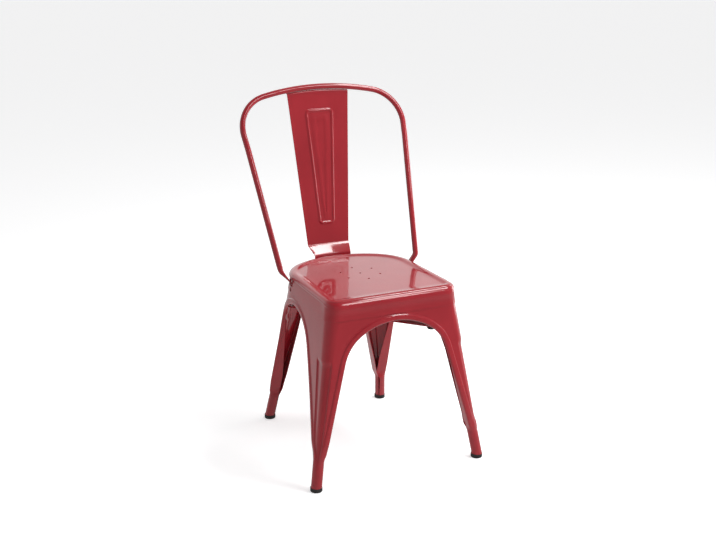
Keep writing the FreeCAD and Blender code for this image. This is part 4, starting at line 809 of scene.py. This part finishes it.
def slat_top(across):
    """Height of the slat's top edge, just under the tube."""
    drop = HOOP_TOP_RADIUS - math.sqrt(HOOP_TOP_RADIUS ** 2 - across ** 2)
    place = HOOP_TOP - hoop_up.normalized() * drop
    along = (place.y - SLAT_BEND_Y) * SLAT_BACK + (place.z - SLAT_BEND_Z) * SLAT_RISE
    return SLAT_BEND_Z + (along - TUBE_RADIUS - SLAT_GAP) * SLAT_RISE


def foot_share(height):
    """0 in the slat's foot, rising to 1 at the bend below the plate."""
    return limit((height - SLAT_LOW) / (SLAT_BEND_Z - SLAT_LOW))


def slat_columns(height):
    """Places across the slat, closer together along the bead."""
    if height < SLAT_BEND_Z:
        half = mix(SLAT_SEAT_HALF, SLAT_BEND_HALF, foot_share(height))
    else:
        share = (height - SLAT_BEND_Z) / (slat_top(SLAT_TOP_HALF) - SLAT_BEND_Z)
        half = mix(SLAT_BEND_HALF, SLAT_TOP_HALF, share)
    share = limit((height - BEAD_BOTTOM) / (BEAD_TOP - BEAD_BOTTOM))
    bead = mix(BEAD_BOTTOM_HALF, BEAD_TOP_HALF, share)
    margin, counts = 0.6, (5, 10, 9)
    reach = BEAD_WIDTH / 2 + margin
    right = spaced((0.0, bead - reach, bead + reach, half), counts)
    return [-across for across in right[:0:-1]] + right


def slat_heights():
    """Heights of the plate's rows, closer together at the bead's two ends."""
    outside, inside, beyond = BEAD_WIDTH / 2 + 1.0, BEAD_CORNER + 2.0, 12.0
    stops = (SLAT_PLATE, BEAD_BOTTOM - outside, BEAD_BOTTOM + inside,
             BEAD_TOP - inside, BEAD_TOP + outside, BEAD_TOP + beyond)
    gaps = (8.0, 1.2, 8.0, 1.2, 4.0)
    counts = [max(1, round((stop - start) / gap)) for start, stop, gap in zip(stops, stops[1:], gaps)]
    return spaced(stops, counts)


def on_plate(across, height, out=0.0):
    """A point of the slat's leaning plate, or one that stands out of it."""
    along = (height - SLAT_BEND_Z) / SLAT_RISE
    return Vector((across, SLAT_BEND_Y + along * SLAT_BACK - out * SLAT_RISE, height + out * SLAT_BACK))


def slat_foot():
    """The slat's profile from its end behind the skirt, round the rim and up to the plate."""

    def behind_skirt(height):
        outline = skirt_outline(height)
        return Vector((0.0, outline.arc_centre + outline.arc + SLAT_GAP, height))

    rim_rear = SEAT_REAR + RIM_OVERHANG + RIM_GAP
    corners = [behind_skirt(SLAT_END), behind_skirt(SLAT_STEP), Vector((0.0, rim_rear, CREASE)),
               Vector((0.0, rim_rear, SLAT_LOW)), on_plate(0.0, SLAT_BEND_Z), on_plate(0.0, SLAT_PLATE)]
    bend_steps = 6
    return spread_along(rounded_path(corners, SLAT_RADII, bend_steps), PATH_STEP)


def make_slat_mesh():
    """The slat: a foot curved like the seat's rear, a flat plate with its bead, and a rolled top edge."""
    rows = []
    axis = skirt_outline(SLAT_END).arc_centre
    for point in slat_foot()[:-1]:
        curved = 1 - foot_share(point.z)
        radius = point.y - axis
        row = []
        for across in slat_columns(point.z):
            drop = radius - math.sqrt(radius ** 2 - across ** 2)
            row.append(Vector((across, point.y - drop * curved, point.z)))
        rows.append(row)
    heights = slat_heights()
    for height in heights:
        columns = slat_columns(height)
        rows.append([on_plate(across, height, bead_height(across, height)) for across in columns])

    def roll_start(across):
        return slat_top(across) - SLAT_ROLL * SLAT_RISE

    shares = steps(0.0, 1.0, SLAT_ROLL_STEPS)
    for share in shares:
        columns = slat_columns(mix(heights[-1], slat_top(SLAT_TOP_HALF), share))
        rows.append([on_plate(across, mix(heights[-1], roll_start(across), share)) for across in columns])
    columns = slat_columns(slat_top(SLAT_TOP_HALF))
    for share in shares:
        angle = share * math.pi / 2
        above = SLAT_ROLL * math.sin(angle) * SLAT_RISE
        behind = SLAT_ROLL * (1 - math.cos(angle))
        rows.append([on_plate(across, roll_start(across) + above, -behind) for across in columns])
    rows.append([on_plate(across, slat_top(across), -SLAT_HEM) for across in columns])
    mesh = Mesh()
    indices = [[mesh.add(point) for point in row] for row in rows]
    for first, second in zip(indices, indices[1:]):
        mesh.join(second, first)
    return mesh


# Materials

class Shading:
    """The nodes of a material or a world, made anew."""

    def __init__(self, owner):
        owner.use_nodes = True
        self.nodes, self.links = owner.node_tree.nodes, owner.node_tree.links
        self.nodes.clear()
        self.place = self.add("TexCoord").outputs

    def add(self, kind, inputs=()):
        """A new node. Its inputs are set to plain values or linked to other nodes' outputs."""
        node = self.nodes.new("ShaderNode" + kind)
        for name, value in dict(inputs).items():
            if isinstance(value, bpy.types.NodeSocket):
                self.links.new(value, node.inputs[name])
            else:
                node.inputs[name].default_value = value
        return node

    def noise(self, scale, detail):
        inputs = {"Vector": self.place["Object"], "Scale": scale, "Detail": detail}
        return self.add("TexNoise", inputs).outputs["Fac"]

    def ramp(self, value, stops):
        ramp = self.add("ValToRGB", {"Fac": value})
        elements = ramp.color_ramp.elements
        elements[0].position, elements[0].color = stops[0][0], (*stops[0][1], 1)
        elements[1].position, elements[1].color = stops[-1][0], (*stops[-1][1], 1)
        for position, colour in stops[1:-1]:
            elements.new(position).color = (*colour, 1)
        return ramp.outputs["Color"]

    def spread(self, value, to_low, to_high, low=0.0, high=1.0):
        """A value moved from the range low to high to another range."""
        ends = {"From Min": low, "From Max": high, "To Min": to_low, "To Max": to_high}
        return self.add("MapRange", {"Value": value, **ends}).outputs["Result"]

    def bump(self, height, strength, distance, **below):
        inputs = {"Height": height, "Strength": strength, "Distance": distance, **below}
        return self.add("Bump", inputs).outputs["Normal"]

    def calculate(self, operation, first, second):
        node = self.add("Math", {0: first, 1: second})
        node.operation = operation
        return node.outputs[0]


def new_material(name, make_inputs):
    """A material with one shader, whose inputs come from a function of its shading."""
    material = bpy.data.materials.new(name)
    shading = Shading(material)
    shader = shading.add("BsdfPrincipled", make_inputs(shading))
    shading.add("OutputMaterial", {"Surface": shader.outputs["BSDF"]})
    return material


def enamel(shading):
    """Glossy red enamel: a clear wet-looking top over a slightly uneven red coat."""
    cloud = shading.noise(9.0, 3.0)
    grain = shading.noise(260.0, 2.0)
    wave = shading.noise(24.0, 0.0)
    peel = shading.noise(620.0, 2.0)
    waves = shading.bump(wave, 0.15, 0.0012)
    reds = [(0.3, (0.325, 0.0135, 0.0215)), (0.7, (0.385, 0.0180, 0.0275))]
    return {
        "Base Color": shading.ramp(cloud, reds),
        "Roughness": shading.spread(grain, 0.26, 0.36),
        "Normal": shading.bump(peel, 0.10, 0.0003, Normal=waves),
        "Specular IOR Level": 0.1,
        "Coat Weight": 1.0,
        "Coat Roughness": 0.05,
        "Coat IOR": 1.5,
        "Coat Normal": waves}


def rubber(shading):
    """Matte moulded rubber, a little dusty."""
    dust = shading.noise(90.0, 4.0)
    grain = shading.noise(1400.0, 2.0)
    blacks = [(0.35, (0.012, 0.011, 0.012)), (0.75, (0.030, 0.028, 0.028))]
    return {
        "Base Color": shading.ramp(dust, blacks),
        "Roughness": shading.spread(dust, 0.55, 0.75),
        "Normal": shading.bump(grain, 0.3, 0.0003)}


def zinc(shading):
    """Zinc plated steel with a faint mottle."""
    mottle = shading.noise(420.0, 3.0)
    greys = [(0.3, (0.52, 0.52, 0.53)), (0.7, (0.68, 0.68, 0.69))]
    return {
        "Base Color": shading.ramp(mottle, greys),
        "Roughness": shading.spread(mottle, 0.28, 0.45),
        "Normal": shading.bump(mottle, 0.15, 0.0002),
        "Metallic": 1.0}


# Pieces

def new_piece(name, shape, mirrored=False):
    """An object from points in millimetres, with smooth faces, on the chair's one body."""
    mesh = bpy.data.meshes.new(name)
    side = -1 if mirrored else 1
    mesh.from_pydata([(side * p[0] * MM, (p[1] + shift) * MM, p[2] * MM) for p in shape.points], [],
                     [face[::side] for face in shape.faces])
    mesh.validate()
    mesh.update()
    mesh.polygons.foreach_set("use_smooth", [True] * len(mesh.polygons))
    piece = bpy.data.objects.new(name, mesh)
    bpy.context.scene.collection.objects.link(piece)
    piece.data.materials.append(materials["red_enamel"])
    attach(piece, root)
    return piece


def give_sheet(piece):
    """The outer face becomes a sheet of steel with softened edges."""
    solid = piece.modifiers.new("sheet", "SOLIDIFY")
    solid.thickness = SHEET * MM
    solid.offset = -1.0
    solid.use_even_offset = True
    solid.use_quality_normals = True
    bevel = piece.modifiers.new("edges", "BEVEL")
    bevel.width = SHEET_EDGE * MM
    bevel.segments = 2
    bevel.limit_method = "ANGLE"
    bevel.angle_limit = math.radians(50)
    bevel.harden_normals = True


materials = {
    "red_enamel": new_material("red_enamel_gloss", enamel),
    "black_rubber": new_material("black_rubber_matte", rubber),
    "zinc_steel": new_material("zinc_plate", zinc)}
slot_of = {part["node"]: part["material_slot"] for part in frame["record"]["subparts"]}

for name, node in frame["nodes"].items():
    for slot in node.material_slots:
        slot.material = materials[slot_of[name]]

# The four legs
for kind in ("front", "rear"):
    shape = make_leg_mesh(kind)
    for word in ("right", "left"):
        leg = new_piece("leg_pressing_%s_%s" % (kind, word), shape, word == "left")
        give_sheet(leg)
        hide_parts("leg_%s_%s" % (kind, word))

for name, node, shape in (
        ("seat_pressing", "seat_pan", make_seat_mesh()),
        ("back_tube", "back_hoop", make_hoop_mesh()),
        ("slat_pressing", "back_slat", make_slat_mesh())):
    piece = new_piece(name, shape)
    if name != "back_tube":
        give_sheet(piece)
    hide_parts(node)


# Floor, world, lamps and camera. Distances here are in metres

def make_floor():
    """A wide pale floor, lifted to white for the camera and in reflections, with the chair's shadow."""
    reach, lift = 40.0, 0.5
    mesh = bpy.data.meshes.new("floor")
    corners = [(-reach, -reach, 0), (reach, -reach, 0), (reach, reach, 0), (-reach, reach, 0)]
    mesh.from_pydata(corners, [], [(0, 1, 2, 3)])
    floor = bpy.data.objects.new("floor", mesh)
    bpy.context.scene.collection.objects.link(floor)
    material = bpy.data.materials.new("floor_white")
    shading = Shading(material)
    rays = shading.add("LightPath").outputs
    pale = {"Base Color": (0.86, 0.86, 0.86, 1), "Roughness": 0.9, "Specular IOR Level": 0.2}
    shader = shading.add("BsdfPrincipled", pale)
    seen = shading.calculate("MAXIMUM", rays["Is Camera Ray"], rays["Is Glossy Ray"])
    seen = shading.calculate("MAXIMUM", seen, rays["Is Transmission Ray"])
    strength = shading.calculate("MULTIPLY", seen, lift)
    glow = shading.add("Emission", {"Color": (1, 1, 1, 1), "Strength": strength})
    both = shading.add("AddShader", {0: shader.outputs["BSDF"], 1: glow.outputs["Emission"]})
    # In the enamel's reflections the floor darkens towards the viewer, as in an unlit room
    depth = shading.add("SeparateXYZ", {0: shading.place["Object"]}).outputs["Y"]
    ahead = shading.spread(depth, 1.0, 0.7, -1.4, 0.2)
    dim = shading.calculate("MULTIPLY", rays["Is Glossy Ray"], ahead)
    dark = shading.add("Emission", {"Color": (0.34, 0.33, 0.33, 1)})
    choice = shading.add("MixShader", {0: dim, 1: both.outputs[0], 2: dark.outputs[0]})
    shading.add("OutputMaterial", {"Surface": choice.outputs[0]})
    mesh.materials.append(material)


def make_world():
    """A pale studio: bright behind the chair, dimmer above it and on the viewer's side."""
    world = bpy.data.worlds.new("studio")
    bpy.context.scene.world = world
    shading = Shading(world)
    direction = shading.add("SeparateXYZ", {0: shading.place["Generated"]}).outputs
    depth = shading.spread(direction["Y"], 0.0, 1.0, -0.6, 0.5)
    greys = [(0.0, (0.30, 0.30, 0.31)), (0.45, (0.50, 0.50, 0.51)), (1.0, (1.0, 1.0, 1.0))]
    strength = shading.spread(direction["Z"], 1.1, 0.4, 0.35, 0.85)
    light = shading.add("Background", {"Color": shading.ramp(depth, greys), "Strength": strength})
    white = shading.add("Background", {"Color": (1, 1, 1, 1)})
    to_camera = shading.add("LightPath").outputs["Is Camera Ray"]
    choice = shading.add("MixShader", {0: to_camera, 1: light.outputs[0], 2: white.outputs[0]})
    shading.add("OutputWorld", {"Surface": choice.outputs[0]})


def add_lamp(name, place, target, width, height, power, in_reflections=True):
    data = bpy.data.lights.new(name, "AREA")
    data.shape = "RECTANGLE"
    data.size, data.size_y = width, height
    data.energy = power
    lamp = bpy.data.objects.new(name, data)
    lamp.location = place
    lamp.rotation_euler = (Vector(target) - Vector(place)).to_track_quat("-Z", "Y").to_euler()
    lamp.visible_glossy = in_reflections
    bpy.context.scene.collection.objects.link(lamp)


def make_camera():
    """The photograph's view: from the front left, a little above the chair."""
    picture_width, focal_length = 716, 1204.7
    pitch, turn = math.radians(17.12), math.radians(-25.12)
    data = bpy.data.cameras.new("camera")
    data.sensor_width = 36.0
    data.lens = focal_length / picture_width * data.sensor_width
    camera = bpy.data.objects.new("camera", data)
    camera.location = (-1.1696, -2.4726 + shift * MM, 1.2825)
    camera.rotation_euler = (math.pi / 2 - pitch, 0, turn)
    bpy.context.scene.collection.objects.link(camera)
    bpy.context.scene.camera = camera


make_floor()
make_world()
add_lamp("overhead", (1.0, -0.03, 2.3), (1.0, -0.03, 0), 0.46, 0.62, 17)
add_lamp("high", (1.1, -1.9, 2.3), (0, 0, 0.4), 0.5, 0.7, 11)
add_lamp("right", (1.2, -0.8, 2.3), (1.2, -0.8, 0), 0.8, 0.7, 20)
add_lamp("side", (2.3, 0.35, 0.55), (0, 0.1, 0.55), 1.0, 1.2, 16)
add_lamp("front", (1.2, -1.5, 1.3), (0, 0, 0.5), 0.6, 0.6, 13, in_reflections=False)
make_camera()
bpy.context.scene.view_settings.view_transform = "Standard"
